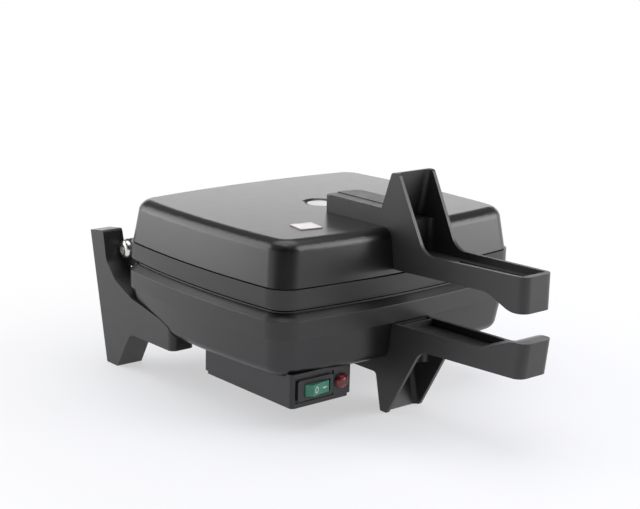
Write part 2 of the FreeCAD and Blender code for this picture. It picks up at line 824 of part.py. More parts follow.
def central_stack(prefix, sign):
    """The threaded bar in a plate's boss, with the clamp bar, shield and nuts that it holds."""
    clear = D["bar_diameter"] + D["fit_gap"] * 2
    half_x = D["heater_width"] / 2 + D["heater_diameter"]
    half_y = D["clamp_width"] / 2
    strap = slab(prefix + "_strap", sign, -half_x, half_x, -half_y, half_y, boss_top, bar_top)
    strap_hole = post(prefix + "_strap_hole", sign, 0, 0, clear, floor_height, sheet_end)
    node(prefix + "_element_clamp", cut(prefix + "_strap_cut", strap, [strap_hole]))
    sheet_body = bowed(prefix + "_sheet", sign, rim_inset + D["sheet_inset"], sheet_start, sheet_end)
    sheet_hole = post(prefix + "_sheet_hole", sign, 0, 0, clear, bar_top, sheet_end + D["fit_gap"])
    holes = [sheet_hole]
    for i, screw_place in enumerate(SCREW_PLACES):
        holes.append(post("%s_sheet_screw_hole_%d" % (prefix, i), sign, 0, D[screw_place],
                          D["handle_screw_head"] + D["head_clearance"], sheet_start - D["fit_gap"],
                          sheet_end + D["fit_gap"]))
    node(prefix + "_heat_shield", cut(prefix + "_sheet_cut", sheet_body, holes))
    nuts = []
    stack = ((bar_top, "nut_height"), (sheet_end, "jam_nut_height"), (well_floor, "nut_height"))
    for i, (start, height) in enumerate(stack):
        end = start + D[height]
        low = level(sign, start if sign > 0 else end)
        nut = hexagon("%s_nut_%d_blank" % (prefix, i), 0, 0, low, "nut_width", height)
        bore = post("%s_nut_%d_bore" % (prefix, i), sign, 0, 0, "bar_diameter", start - D["fit_gap"],
                    end + D["fit_gap"])
        nuts.append(cut("%s_nut_%d" % (prefix, i), nut, [bore]))
    node(prefix + "_nuts", group(prefix + "_nut_group", nuts))
    node(prefix + "_threaded_bar", post(prefix + "_bar", sign, 0, 0, "bar_diameter", floor_height,
                                        well_floor + D["nut_height"]))


for sign, prefix in HALVES:
    heater(prefix, sign)
    central_stack(prefix, sign)

fuse_half = D["fuse_length"] / 2
node("thermal_fuse", rod("thermal_fuse_rod", -fuse_half, D["heater_length"] / 4,
                         level(1, floor_height + D["fuse_diameter"] / 2), "fuse_diameter", "fuse_length",
                         ALONG_X))
thermostat_cap = post("thermostat_cap", -1, D["waffle_spread"] / 2, D["heater_length"] / 4,
                      "thermostat_diameter", floor_height, floor_height + D["thermostat_height"] / 2)
thermostat_post = post("thermostat_post", -1, D["waffle_spread"] / 2, D["heater_length"] / 4,
                       D["thermostat_diameter"] / 2, floor_height, floor_height + D["thermostat_height"])
node("thermostat", fuse("thermostat_body", [thermostat_cap, thermostat_post]))


# Handles

arm_top = D["shell_reach"] + D["arm_rise"]


def grip_rise(y):
    """How far both grips have risen at a place along them."""
    return D["grip_rise"] * (D["rise_start"] - dim(y)) / (D["rise_start"] - D["tip_end"])


def grip_point(sign, y, height):
    return (dim(y), level(sign, height) + grip_rise(y))


def side_view(label, points, half_width):
    """A side outline drawn on the YZ plane and padded both ways from the middle."""
    points = [(dim(y), dim(z)) for y, z in points]
    return padded(label, "YZ_Plane", points, -dim(half_width), dim(half_width) * 2)


def plan_view(label, sign, inset, tip):
    """The plan of a handle: parallel along the arm, then narrowing to the tip."""
    wide = D["grip_half_width"] - inset
    narrow = D["tip_half_width"] - inset
    back = D["arm_back"] - inset
    points = [(-narrow, tip), (narrow, tip), (wide, D["rise_start"]), (wide, back), (-wide, back),
              (-wide, D["rise_start"])]
    far = fin_reach + D["grip_rise"]
    low = level(sign, -D["grip_rise"] * 2) if sign > 0 else level(sign, far)
    return padded(label, "XY_Plane", points, low, far + D["grip_rise"] * 3)


def beside(y, z):
    """A test for an edge that runs across the handle through one point of its side outline."""
    y, z = dim(y).value, dim(z).value

    def chosen(edge):
        box = edge.BoundBox
        across = box.XLength > max(box.YLength, box.ZLength)
        return across and abs(box.YMin - y) < NEAR and abs(box.ZMin - z) < NEAR
    return chosen


def rounded_corners(label, base, corners):
    """Round edges of a side view, each corner a point of its outline and a radius."""
    doc.recompute()
    fillet = doc.addObject("Part::Fillet", label)
    fillet.Base = base
    chosen = []
    for (y, z), radius in corners:
        test = beside(y, z)
        radius = dim(radius).value
        chosen += [(i + 1, radius, radius) for i, edge in enumerate(base.Shape.Edges) if test(edge)]
    fillet.Edges = chosen
    return fillet


def upright_at(*places):
    """A test for upright edges whose front end lies at one of some places along Y."""
    values = [dim(place).value for place in places]

    def chosen(edge):
        return upright(edge) and min(abs(edge.BoundBox.YMin - value) for value in values) < NEAR
    return chosen


def handle(prefix, sign):
    """A moulded handle: arm on the cover, fin or leg, and a grip with a channel on both faces."""
    inner_y = -(D["half_depth"] - D["corner_radius"])
    arm_bottom = D["shell_reach"] - D["edge_round"] / 2
    fin_foot = (D["fin_front_foot"], level(sign, D["grip_outer"]) + grip_rise(D["fin_front_foot"]))
    # the leg's foot stands further back than the fin's top
    setback = D["leg_setback"] if sign < 0 else dim(0)
    back_top = (D["fin_back_top"] + setback, level(sign, fin_reach))
    front_top = (D["fin_front_top"] + setback, level(sign, fin_reach))
    back_foot = (D["fin_back_foot"], level(sign, arm_top))
    arm_end = (D["arm_back"], level(sign, arm_top))
    # the lower tip leans out towards its mouth
    lip = D["tip_end"] - D["tip_lean"] if sign < 0 else D["tip_end"]
    ogee_low = grip_point(sign, D["ogee_start"], D["grip_inner"])
    ogee_high = grip_point(sign, lip - (D["tip_end"] - D["ogee_end"]), D["tip_inner"])
    outline = [(D["arm_back"], level(sign, arm_bottom)), (inner_y, level(sign, arm_bottom)),
               (inner_y, level(sign, D["grip_inner"])), (D["rise_start"], level(sign, D["grip_inner"])),
               ogee_low, ogee_high, grip_point(sign, lip, D["tip_inner"]),
               grip_point(sign, D["tip_end"], D["grip_outer"]), fin_foot, front_top, back_top, back_foot,
               arm_end]
    profile = side_view(prefix + "_handle_side", outline, "grip_half_width")
    top_bend = "fin_top_bend" if sign > 0 else "foot_round"
    profile = rounded_corners(prefix + "_handle_profile", profile, [
        (fin_foot, "fin_foot_bend"), (back_top, top_bend), (front_top, top_bend),
        (back_foot, "arm_bend"), (ogee_low, "ogee_bend"), (ogee_high, "ogee_bend")])
    plan = plan_view(prefix + "_handle_plan", sign, dim(0), lip)
    blank = rounded(prefix + "_handle_blank", common(prefix + "_handle_sharp", profile, plan), "tip_round",
                    upright_at(lip, "arm_back"))

    # the recess in the fin's front runs into the channel along the grip's outer face
    web_top = D["fin_back_top"] + setback - D["fin_web"]
    web_low = web_top + D["web_lean"]
    step_y = -(D["half_depth"] + D["handle_wall"])
    floor = D["grip_outer"] - D["channel_depth"]
    far_y = D["tip_end"] + D["channel_end"]
    outer_end = fin_reach + D["fit_gap"]
    recess = side_view(prefix + "_recess_side", [
        (step_y, level(sign, floor)), (step_y, level(sign, D["recess_step"])),
        (web_low, level(sign, D["recess_step"])), (web_top, level(sign, fin_reach)),
        (web_top, level(sign, outer_end)), (D["tip_end"], level(sign, outer_end)),
        grip_point(sign, D["tip_end"], floor), grip_point(sign, D["rise_start"], floor)], "grip_half_width")
    narrow_plan = plan_view(prefix + "_recess_plan", sign, D["handle_wall"], far_y)
    outer_channel = rounded(prefix + "_recess", common(prefix + "_recess_sharp", recess, narrow_plan),
                            "recess_bend", upright_at(web_top, step_y))
    roof = D["grip_inner"] + D["channel_depth"]
    inner_far = D["ogee_start"] + D["channel_end"]
    under = side_view(prefix + "_underside_side", [
        (step_y, level(sign, 0)), (step_y, level(sign, roof)), grip_point(sign, D["rise_start"], roof),
        grip_point(sign, inner_far, roof), (inner_far, level(sign, 0))], "grip_half_width")
    under_plan = plan_view(prefix + "_underside_plan", sign, D["handle_wall"], far_y)
    inner_channel = common(prefix + "_underside", under, under_plan)
    half_pocket = D["grip_half_width"] - D["handle_wall"]
    pocket = slab(prefix + "_arm_pocket", sign, -half_pocket, half_pocket,
                  D["fin_back_foot"] + D["handle_wall"], D["arm_back"] - D["handle_wall"] * 2,
                  D["shell_reach"] - D["fit_gap"], arm_top - D["handle_wall"])
    room = cover_outside(prefix + "_cover", sign, "fit_gap")
    carved = cut(prefix + "_handle_carved", blank, [outer_channel, inner_channel, pocket, room])

    # on top of the arm lie a raised panel and, along its middle, a raised spine
    panel_plan = plan_view(prefix + "_panel_plan", sign, D["panel_inset"], D["tip_end"])
    panel = slab(prefix + "_panel_slab", sign, -D["grip_half_width"], "grip_half_width", "fin_back_foot",
                 "arm_back", arm_top - D["panel_rise"], arm_top + D["panel_rise"])
    half_spine = D["spine_width"] / 2
    spine = slab(prefix + "_spine", sign, -half_spine, half_spine, "fin_back_foot",
                 D["arm_back"] - D["panel_inset"], arm_top - D["panel_rise"], arm_top + D["panel_rise"] * 2)
    added = [rounded(prefix + "_panel", common(prefix + "_panel_sharp", panel, panel_plan),
                     D["tip_round"] - D["panel_inset"], upright_at(D["arm_back"] - D["panel_inset"])), spine]
    for i, screw_place in enumerate(SCREW_PLACES):
        added.append(post("%s_screw_post_%d" % (prefix, i), sign, 0, D[screw_place], "screw_boss",
                          D["shell_reach"], arm_top - D["handle_wall"]))
    half_ridge = D["ridge_size"] / 2
    ridge_start = D["fin_front_foot"] - D["fin_foot_bend"]
    for side, name in SIDES:
        middle = D["ridge_spread"] * side
        ridge = [grip_point(sign, far_y, floor), grip_point(sign, far_y, floor + D["ridge_size"]),
                 grip_point(sign, ridge_start, floor + D["ridge_size"]), grip_point(sign, ridge_start, floor)]
        added.append(padded("%s_ridge_%s" % (prefix, name), "YZ_Plane", ridge, middle - half_ridge,
                            "ridge_size"))
    rib_y = step_y - D["rib_setback"]
    added.append(slab(prefix + "_rib", sign, -half_pocket, half_pocket, rib_y, rib_y + D["rib_thickness"],
                      D["grip_inner"] + D["fit_gap"], roof + D["fit_gap"]))
    whole = fuse(prefix + "_handle_whole", [carved] + added)
    bores = [post("%s_post_bore_%d" % (prefix, i), sign, 0, D[screw_place], "handle_screw",
                  D["shell_reach"] - D["fit_gap"], D["shell_reach"] + D["screw_grip"])
             for i, screw_place in enumerate(SCREW_PLACES)]
    node(prefix + "_handle", cut(prefix + "_handle_cut", whole, bores))

    screws = []
    for i, screw_place in enumerate(SCREW_PLACES):
        seat = D["shell_reach"] - D["shell_wall"]
        shank = post("%s_screw_shank_%d" % (prefix, i), sign, 0, D[screw_place], "handle_screw", seat,
                     D["shell_reach"] + D["screw_grip"])
        head = post("%s_screw_head_%d" % (prefix, i), sign, 0, D[screw_place], "handle_screw_head",
                    seat - D["screw_head_height"], seat)
        screws.append(fuse("%s_screw_%d" % (prefix, i), [shank, head]))
    node(prefix + "_handle_screws", group(prefix + "_screw_group", screws))


for sign, prefix in HALVES:
    handle(prefix, sign)


# Rear stands

def stand_front_view(label, side, inset):
    """The stand seen from the front: upright on its outer face, sloping on its inner one."""
    outer = (D["stand_outer"] - inset) * side
    foot = (D["stand_outer"] - D["stand_foot_width"] + inset) * side
    top = (D["stand_outer"] - D["stand_top_width"] + inset) * side
    below = -D["fit_gap"]
    points = [(outer, below), (foot, below), (top, "stand_top_height"), (outer, "stand_top_height")]
    if side > 0:
        points.reverse()
    behind = D["stand_top_front"] + D["stand_top_depth"] * 2
    return padded(label, "XZ_Plane", points, -behind, behind)


def stand(side, name):
    """A moulded stand: upright, foot, and an arm under the base, open at the back and below."""
    label = "stand_" + name
    back_top = (D["stand_top_front"] + D["stand_top_depth"], D["stand_top_height"] - D["stand_top_drop"])
    front_top = (D["stand_top_front"], D["stand_top_height"])
    low = (D["stand_front_low"], D["stand_front_height"])
    bend = (D["stand_bend_y"], D["stand_bend_z"])
    arch = (D["foot_arch_y"], D["stand_arm_bottom"])
    deep = shell_bottom + D["edge_round"]
    outline = [(D["foot_front"], dim(0)), (D["stand_heel"], dim(0)), back_top, front_top, low, bend,
               (D["stand_web_y"], D["stand_web_z"]), (D["stand_arm_end"], deep),
               (D["stand_arm_end"], D["stand_arm_bottom"]), arch]
    outer = D["stand_outer"]
    left_end = outer - D["stand_foot_width"] if side > 0 else -outer
    profile = padded(label + "_side", "YZ_Plane", outline, left_end, "stand_foot_width")
    profile = rounded_corners(label + "_profile", profile, [
        (arch, "stand_arch"), (bend, "stand_bend"), (low, "stand_bend"), (front_top, "stand_round")])
    sharp = common(label + "_sharp", profile, stand_front_view(label + "_front", side, dim(0)))
    blank = rounded(label + "_blank", sharp, "stand_end_round", upright_at("stand_arm_end"))

    wall = D["stand_wall"]
    lean = (back_top[0] - D["stand_heel"]) / back_top[1]
    behind = D["stand_top_depth"]
    hollow = padded(label + "_hollow_side", "YZ_Plane", [
        (D["foot_front"] + wall * 2, wall), (D["stand_heel"] + behind, wall),
        (D["stand_heel"] + behind + lean * back_top[1], back_top[1] - wall),
        (D["stand_top_front"] + wall, back_top[1] - wall),
        (D["stand_front_low"] + wall, D["stand_front_height"]), (D["stand_bend_y"] + wall, D["stand_bend_z"]),
        (D["stand_bend_y"] + wall, D["stand_arm_bottom"] + wall)], left_end, "stand_foot_width")
    trough = padded(label + "_trough_side", "YZ_Plane", [
        (D["stand_arm_end"] + wall, D["stand_arm_bottom"] - wall),
        (D["foot_arch_y"], D["stand_arm_bottom"] - wall),
        (D["foot_arch_y"] + wall, shell_bottom - wall), (D["stand_arm_end"] + wall, shell_bottom - wall)],
        left_end, "stand_foot_width")
    hollows = common(label + "_hollows", fuse(label + "_hollow_sides", [hollow, trough]),
                     stand_front_view(label + "_hollow_front", side, wall))
    room = cover_outside(label + "_cover", -1, "fit_gap")
    holes = []
    screws = []
    for i, screw_place in enumerate(("stand_bore_front", "stand_bore_back")):
        spot = (D["stand_screw_x"] * side, D[screw_place])
        seat = D["shell_reach"] + wall
        holes.append(post("%s_hole_%d" % (label, i), -1, *spot, D["stand_screw"] + D["fit_gap"],
                          floor_height, seat + D["fit_gap"]))
        shank = post("%s_screw_shank_%d" % (label, i), -1, *spot, "stand_screw",
                     D["shell_reach"] - D["screw_grip"], seat)
        head = post("%s_screw_head_%d" % (label, i), -1, *spot, "stand_screw_head", seat,
                    seat + D["screw_head_height"])
        screws.append(fuse("%s_screw_%d" % (label, i), [shank, head]))
    plate_room = bowed(label + "_band_room", -1, -(D["band_proud"] + D["lower_band_proud"] + D["fit_gap"]),
                       "lower_band_start", cover_start[-1] + D["fit_gap"])
    node("rear_stand_" + name, cut(label + "_cut", blank, [hollows, room, plate_room] + holes))
    return screws


stand_screws = []
for side, name in SIDES:
    stand_screws += stand(side, name)
node("rear_stand_screws", group("stand_screw_group", stand_screws))


# Hinge bolts, nuts, washers and bushes

def hinge_bolt(side, name):
    """A button head bolt whose head lies against the outer lug."""
    label = "hinge_bolt_" + name
    radius = D["bolt_diameter"] / 2
    head = D["bolt_head"] / 2
    flat = D["bolt_socket"]
    end = D["lug_outer"] - nut_start + D["side_play"] * 4
    blank_points = [(dim(0), -D["bolt_head_height"]), (flat, -D["bolt_head_height"]),
                    (head, -D["bolt_head_rim"]), (head, dim(0)), (radius, dim(0)), (radius, end), (dim(0), end)]
    inward = FreeCAD.Rotation(FreeCAD.Vector(0, 1, 0), -90 * side)
    bolt = turned(label + "_turned", blank_points, D["lug_outer"] * side, "hinge_y", "hinge_z", inward)
    outer_face = (D["lug_outer"] + D["bolt_head_height"]) * side
    socket = hexagon(label + "_socket", outer_face, "hinge_y", "hinge_z", "bolt_socket", "bolt_socket_depth",
                     inward)
    return cut(label, bolt, [socket])


node("hinge_bolts", group("hinge_bolt_group", [hinge_bolt(side, name) for side, name in SIDES]))
node("hinge_bushes", group("hinge_bush_group", [
    ring("hinge_bush_" + name, side, upper_lug_start, D["lug_thickness"],
         D["bolt_diameter"] + D["bush_wall"] * 2, D["bolt_diameter"] + D["bolt_clearance"])
    for side, name in SIDES]))
node("hinge_washers", group("hinge_washer_group", [
    ring("hinge_washer_" + name, side, washer_start, D["washer_thickness"], D["washer_diameter"],
         D["bolt_diameter"] + D["fit_gap"]) for side, name in SIDES]))
hinge_nuts = []
for side, name in SIDES:
    left_end = nut_start if side > 0 else -(nut_start + D["hinge_nut_height"])
    blank = hexagon("hinge_nut_blank_" + name, left_end, "hinge_y", "hinge_z", "hinge_nut", "hinge_nut_height",
                    ALONG_X)
    hinge_nuts.append(cut("hinge_nut_" + name, blank, [
        hinge_rod("hinge_nut_bore_" + name, side, nut_start - D["side_play"],
                  D["hinge_nut_height"] + D["side_play"] * 2, "bolt_diameter")]))
node("hinge_nuts", group("hinge_nut_group", hinge_nuts))


# Control box

wall = D["box_wall"]
box_top = shell_bottom + D["edge_round"]
roof_bottom = shell_bottom - wall
front_face = D["box_front"] - D["bezel_thickness"]

box_outside = rounded("box_outside", block("box_blank", D["box_left"], D["box_right"], D["box_front"],
                                           D["box_back"], D["box_bottom"], box_top), "box_corner", upright)
lip = rounded("box_lip_round", block("box_lip", D["box_left"] - D["lip_proud"], D["box_right"] + D["lip_proud"],
                                     D["box_front"] - D["lip_proud"], D["box_back"] + D["lip_proud"],
                                     D["box_lip"], D["box_lip"] + D["lip_height"]), "box_corner", upright)
box_inside = block("box_inside", D["box_left"] + wall, D["box_right"] - wall, D["box_front"] + wall,
                   D["box_back"] - wall, D["box_bottom"] - wall, roof_bottom)
post_spots = [(x, y) for x in (D["box_left"] + D["box_post_edge"], D["box_right"] - D["box_post_edge"])
              for y in (D["box_front"] + D["box_post_front"], D["box_back"] - D["box_post_back"])]
box_posts = [rod("box_post_%d" % i, x, y, D["box_bottom"], D["box_screw_head"], roof_bottom - D["box_bottom"])
             for i, (x, y) in enumerate(post_spots)]
box_bores = [rod("box_bore_%d" % i, x, y, D["box_bottom"] - wall, "box_screw", D["screw_grip"] + wall)
             for i, (x, y) in enumerate(post_spots)]
bezel_middle = D["bezel_left"] + D["bezel_width"] / 2
half_hole = D["switch_hole_width"] / 2
hole_high = D["switch_hole_height"] / 2
switch_hole = block("switch_hole", bezel_middle - half_hole, bezel_middle + half_hole, D["box_front"] - wall,
                    D["box_front"] + wall * 2, D["bezel_center"] - hole_high, D["bezel_center"] + hole_high)
half_bezel = D["bezel_width"] / 2
bezel_high = D["bezel_height"] / 2
around = D["pocket_margin"]
bezel_seat = D["box_front"] + D["pocket_depth"]
switch_pocket = block("switch_pocket", bezel_middle - half_bezel - around, bezel_middle + half_bezel + around,
                      D["box_front"] - wall, bezel_seat, D["bezel_center"] - bezel_high - around,
                      D["bezel_center"] + bezel_high + around)
lens_hole = rod("lens_hole", "lens_x", D["box_front"] - wall, "lens_z", "lens_stem", wall * 3, ALONG_Y)
gland_hole = rod("gland_hole", "gland_x", D["box_back"] - wall * 2, "gland_z", "gland_diameter", wall * 3,
                 ALONG_Y)
roof_hole = rod("roof_hole", "wire_hole_x", "wire_hole_y", roof_bottom - wall, "wire_hole", wall * 3)
box_shell = cut("box_shell", fuse("box_full", [box_outside, lip]),
                [box_inside, cover_outside("box_cover", -1, "fit_gap")])
trim_top = block("box_trim_top", D["box_left"] - wall, D["box_right"] + wall, D["box_front"] - wall,
                 D["box_back"] + wall, D["box_lip"] + D["lip_height"], box_top + wall)
box_full = fuse("box_with_posts", [cut("box_trimmed", box_shell, [trim_top])] + box_posts)
box_openings = [switch_pocket, switch_hole, lens_hole, gland_hole, roof_hole]
node("control_box", cut("control_box_cut", box_full, box_bores + box_openings))

inset = D["lid_plate_inset"]
lid_plate = rounded("lid_plate_round", block("lid_plate", D["box_left"] + inset, D["box_right"] - inset,
                                             D["box_front"] + inset, D["box_back"] - inset,
                                             D["box_bottom"] - D["lid_plate_thickness"], D["box_bottom"]),
                    "box_corner", upright)
plate_holes = [rod("lid_plate_hole_%d" % i, x, y, D["box_bottom"] - D["lid_plate_thickness"] - wall,
                   D["box_screw"] + D["fit_gap"], D["lid_plate_thickness"] + wall * 2)
               for i, (x, y) in enumerate(post_spots)]
node("control_box_cover", cut("lid_plate_cut", lid_plate, plate_holes))
box_screws = []
for i, (x, y) in enumerate(post_spots):
    seat = D["box_bottom"] - D["lid_plate_thickness"]
    shank = rod("box_screw_shank_%d" % i, x, y, seat, "box_screw", D["screw_grip"])
    head = rod("box_screw_head_%d" % i, x, y, seat - D["box_screw"] / 2, "box_screw_head", D["box_screw"] / 2)
    box_screws.append(fuse("box_screw_%d" % i, [shank, head]))
node("control_box_screws", group("box_screw_group", box_screws))


# Rocker switch

axle_y = front_face + D["axle_depth"]
half_open = D["opening_width"] / 2
rocker_reach = half_open - D["rocker_gap"]
neck = D["axle_depth"] - D["opening_lip"]
rocker_radius = root(rocker_reach * rocker_reach + neck * neck)
cavity_half = rocker_radius + D["rocker_gap"] * 2
high = D["opening_height"] / 2
rocker_z = D["bezel_center"] - high + D["rocker_gap"]
rocker_height = D["opening_height"] - D["rocker_gap"] * 2

bezel = rounded("bezel_round", block("bezel", D["bezel_left"], D["bezel_left"] + D["bezel_width"], front_face,
                                     bezel_seat, D["bezel_center"] - bezel_high,
                                     D["bezel_center"] + bezel_high), "bezel_thickness",
                lambda edge: edge.BoundBox.YLength > edge.BoundBox.XLength + edge.BoundBox.ZLength)
housing = block("switch_body", bezel_middle - half_hole, bezel_middle + half_hole, bezel_seat,
                front_face + D["switch_depth"], D["bezel_center"] - hole_high, D["bezel_center"] + hole_high)
opening = block("switch_opening", D["opening_center"] - half_open, D["opening_center"] + half_open,
                front_face - wall, axle_y, D["bezel_center"] - high, D["bezel_center"] + high)
cavity = block("switch_cavity", D["opening_center"] - cavity_half, D["opening_center"] + cavity_half,
               front_face + D["opening_lip"], front_face + D["cavity_depth"], D["bezel_center"] - high,
               D["bezel_center"] + high)
axle_hole = rod("axle_hole", "opening_center", axle_y, rocker_z - D["axle_reach"] - D["rocker_gap"],
                D["axle_diameter"] + D["bolt_clearance"],
                rocker_height + (D["axle_reach"] + D["rocker_gap"]) * 2)
node("switch_housing", cut("switch_housing_cut", fuse("switch_solid", [bezel, housing]),
                           [opening, cavity, axle_hole]))

crown = D["axle_depth"] + D["rocker_crown"]
lift = D["axle_depth"] + D["rocker_lift"]
half_face = D["rocker_face"] / 2
back_reach = root(rocker_radius * rocker_radius - D["rocker_depth"] * D["rocker_depth"])
rocker_points = [(-half_face, -lift), (dim(0), -crown), (half_face, -lift), (rocker_reach, -neck),
                 (back_reach, D["rocker_depth"]), (-back_reach, D["rocker_depth"]), (-rocker_reach, -neck)]
rocker_block = padded("rocker_block", "XY_Plane", rocker_points, 0, rocker_height,
                      arcs={3: rocker_radius, 5: rocker_radius})
rocker_axle = rod("rocker_axle", 0, 0, -D["axle_reach"], "axle_diameter", rocker_height + D["axle_reach"] * 2)
rocker = fuse("rocker_body", [rocker_block, rocker_axle])
place(rocker, "opening_center", axle_y, rocker_z, FreeCAD.Rotation(FreeCAD.Vector(0, 0, 1), 1))
rocker.setExpression("Placement.Rotation.Angle", "Sizes.rocker_tilt * 1 deg")
node("switch_rocker", rocker)

terminals = []
half_blade = D["terminal_width"] / 2
for i in range(3):
    x = bezel_middle + D["terminal_pitch"] * (i - 1)
    terminals.append(block("terminal_%d" % i, x - half_blade, x + half_blade, front_face + D["switch_depth"],
                           front_face + D["switch_depth"] + D["terminal_length"],
                           D["bezel_center"] - D["terminal_thickness"] / 2,
                           D["bezel_center"] + D["terminal_thickness"] / 2))
node("switch_terminals", group("terminal_group", terminals))


# Indicator

lens_radius = D["lens_diameter"] / 2
dome_radius = (lens_radius * lens_radius + D["lens_dome"] * D["lens_dome"]) / (D["lens_dome"] * 2)
lens = turned("lens_turned", [
    (dim(0), -D["lens_stem_length"]), (D["lens_stem"] / 2, -D["lens_stem_length"]),
    (D["lens_stem"] / 2, dim(0)), (lens_radius, dim(0)), (lens_radius, D["lens_rim"]),
    (dim(0), D["lens_rim"] + D["lens_dome"])],
    "lens_x", "box_front", "lens_z", ALONG_MINUS_Y, arcs={4: dome_radius})
node("indicator_lens", lens)
node("indicator_lamp", rod("lamp_rod", "lens_x", D["box_front"] + D["lens_stem_length"], "lens_z",
                           "lamp_diameter", "lamp_length", ALONG_Y))


# Terminal block, cord gland and the leads in the box

block_left = D["gland_x"] - D["block_length"] / 2
node("terminal_block", block("terminal_block_body", block_left, block_left + D["block_length"], "block_y",
                             D["block_y"] + D["block_width"], roof_bottom - D["block_height"], roof_bottom))
block_bottom = roof_bottom - D["block_height"]
terminal_screws = []
for i in range(3):
    x = block_left + D["block_length"] * (i + 0.5) / 3
    for j in range(2):
        y = D["block_y"] + D["block_width"] * (j + 0.5) / 2
        terminal_screws.append(rod("terminal_screw_%d_%d" % (i, j), x, y, block_bottom - D["box_screw"] / 3,
                                   "box_screw", D["box_screw"] / 3))
node("terminal_screws", group("terminal_screw_group", terminal_screws))

gland_body = rod("gland_body", "gland_x", D["box_back"] - wall * 2, "gland_z", "gland_diameter",
                 D["gland_length"] + wall * 2, ALONG_Y)
gland_flange = rod("gland_flange_rod", "gland_x", "box_back", "gland_z", "gland_flange", wall, ALONG_Y)
gland_bore = rod("gland_bore_rod", "gland_x", D["box_back"] - wall * 3, "gland_z", "gland_bore",
                 D["gland_length"] + wall * 4, ALONG_Y)
node("cord_gland", cut("cord_gland_cut", fuse("gland_solid", [gland_body, gland_flange]), [gland_bore]))

lead = D["lead_diameter"].value
bend = D["lead_bend"].value
blade_y = (front_face + D["switch_depth"] + D["terminal_length"]).value
block_front = D["block_y"].value
block_middle = (roof_bottom - D["block_height"] / 2).value
lead_ends = []
for i, blade in enumerate((-1, 0)):
    x = (bezel_middle + D["terminal_pitch"] * blade).value
    target = (D["gland_x"] + D["block_length"] / 3 * blade).value
    half_way = (blade_y + block_front) / 2 - bend * 2 * i
    lead_ends.append(tube("switch_lead_%d" % i, [
        (x, blade_y, D["bezel_center"].value), (x, half_way, D["bezel_center"].value),
        (target, half_way + bend * 2, block_middle), (target, block_front, block_middle)], lead, bend))
lamp_end = (D["box_front"] + D["lens_stem_length"] + D["lamp_length"]).value
lamp_target = (D["gland_x"] + D["block_length"] / 3).value
lead_ends.append(tube("lamp_lead", [
    (D["lens_x"].value, lamp_end, D["lens_z"].value),
    (D["lens_x"].value, lamp_end + bend * 2, D["lens_z"].value),
    (lamp_target, block_front - bend * 2, block_middle), (lamp_target, block_front, block_middle)],
    lead, bend))
node("internal_leads", group("lead_group", lead_ends))


# Check every object, then write one file for each node
doc.recompute()
for obj in doc.Objects:
    if "Invalid" in obj.State or "Error" in obj.State:
        raise RuntimeError("%s is %s" % (obj.Label, obj.State))
os.makedirs("parts", exist_ok=True)
for name, obj in nodes.items():
    shape = obj.Shape
    if shape.isNull() or not shape.isValid():
        raise RuntimeError("%s has no valid shape" % name)
    shape.exportStep(os.path.join("parts", name + ".step"))
    print("%-24s %2d solid(s) %9.0f mm3" % (name, len(shape.Solids), shape.Volume))
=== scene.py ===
"""Looks of the double waffle maker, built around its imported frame. Metres, +Z up, handles towards -Y."""
import json
import math
import bmesh
import bpy
from mathutils import Matrix, Vector
from mathutils.bvhtree import BVHTree

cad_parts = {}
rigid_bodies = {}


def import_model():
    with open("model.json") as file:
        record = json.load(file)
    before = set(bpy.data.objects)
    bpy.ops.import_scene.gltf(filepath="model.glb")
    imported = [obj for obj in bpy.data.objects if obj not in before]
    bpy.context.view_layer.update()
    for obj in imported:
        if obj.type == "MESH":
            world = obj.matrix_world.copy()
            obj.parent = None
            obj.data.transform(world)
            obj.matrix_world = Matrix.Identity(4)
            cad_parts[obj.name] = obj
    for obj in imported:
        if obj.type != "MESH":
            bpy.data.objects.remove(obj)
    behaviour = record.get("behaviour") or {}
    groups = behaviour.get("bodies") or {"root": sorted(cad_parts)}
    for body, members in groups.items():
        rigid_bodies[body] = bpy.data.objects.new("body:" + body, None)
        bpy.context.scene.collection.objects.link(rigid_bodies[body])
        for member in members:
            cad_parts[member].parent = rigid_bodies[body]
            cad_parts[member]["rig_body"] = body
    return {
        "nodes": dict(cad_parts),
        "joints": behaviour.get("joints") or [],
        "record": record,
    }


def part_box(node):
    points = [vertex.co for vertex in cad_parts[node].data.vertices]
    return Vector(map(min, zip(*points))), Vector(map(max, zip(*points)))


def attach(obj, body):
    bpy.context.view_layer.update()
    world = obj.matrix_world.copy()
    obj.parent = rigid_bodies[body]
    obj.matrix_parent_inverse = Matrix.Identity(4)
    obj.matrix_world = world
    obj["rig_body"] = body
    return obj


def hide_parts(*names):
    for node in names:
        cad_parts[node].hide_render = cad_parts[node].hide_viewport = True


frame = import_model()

nodes = frame["nodes"]
joints = {joint["name"]: joint for joint in frame["joints"]}
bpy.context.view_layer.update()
MM = 0.001


# The photograph's camera

CAMERA_AZIMUTH = math.radians(-40.43)
CAMERA_ELEVATION = math.radians(13.76)
CAMERA_ROLL = math.radians(1.39)
CAMERA_DISTANCE = 1.1079
CAMERA_HEIGHT = 0.09194
CAMERA_SIDE = 0.00218
CAMERA_BEFORE_HINGE = 0.1085
LENS_MM = 83.69
SENSOR_MM = 36.0


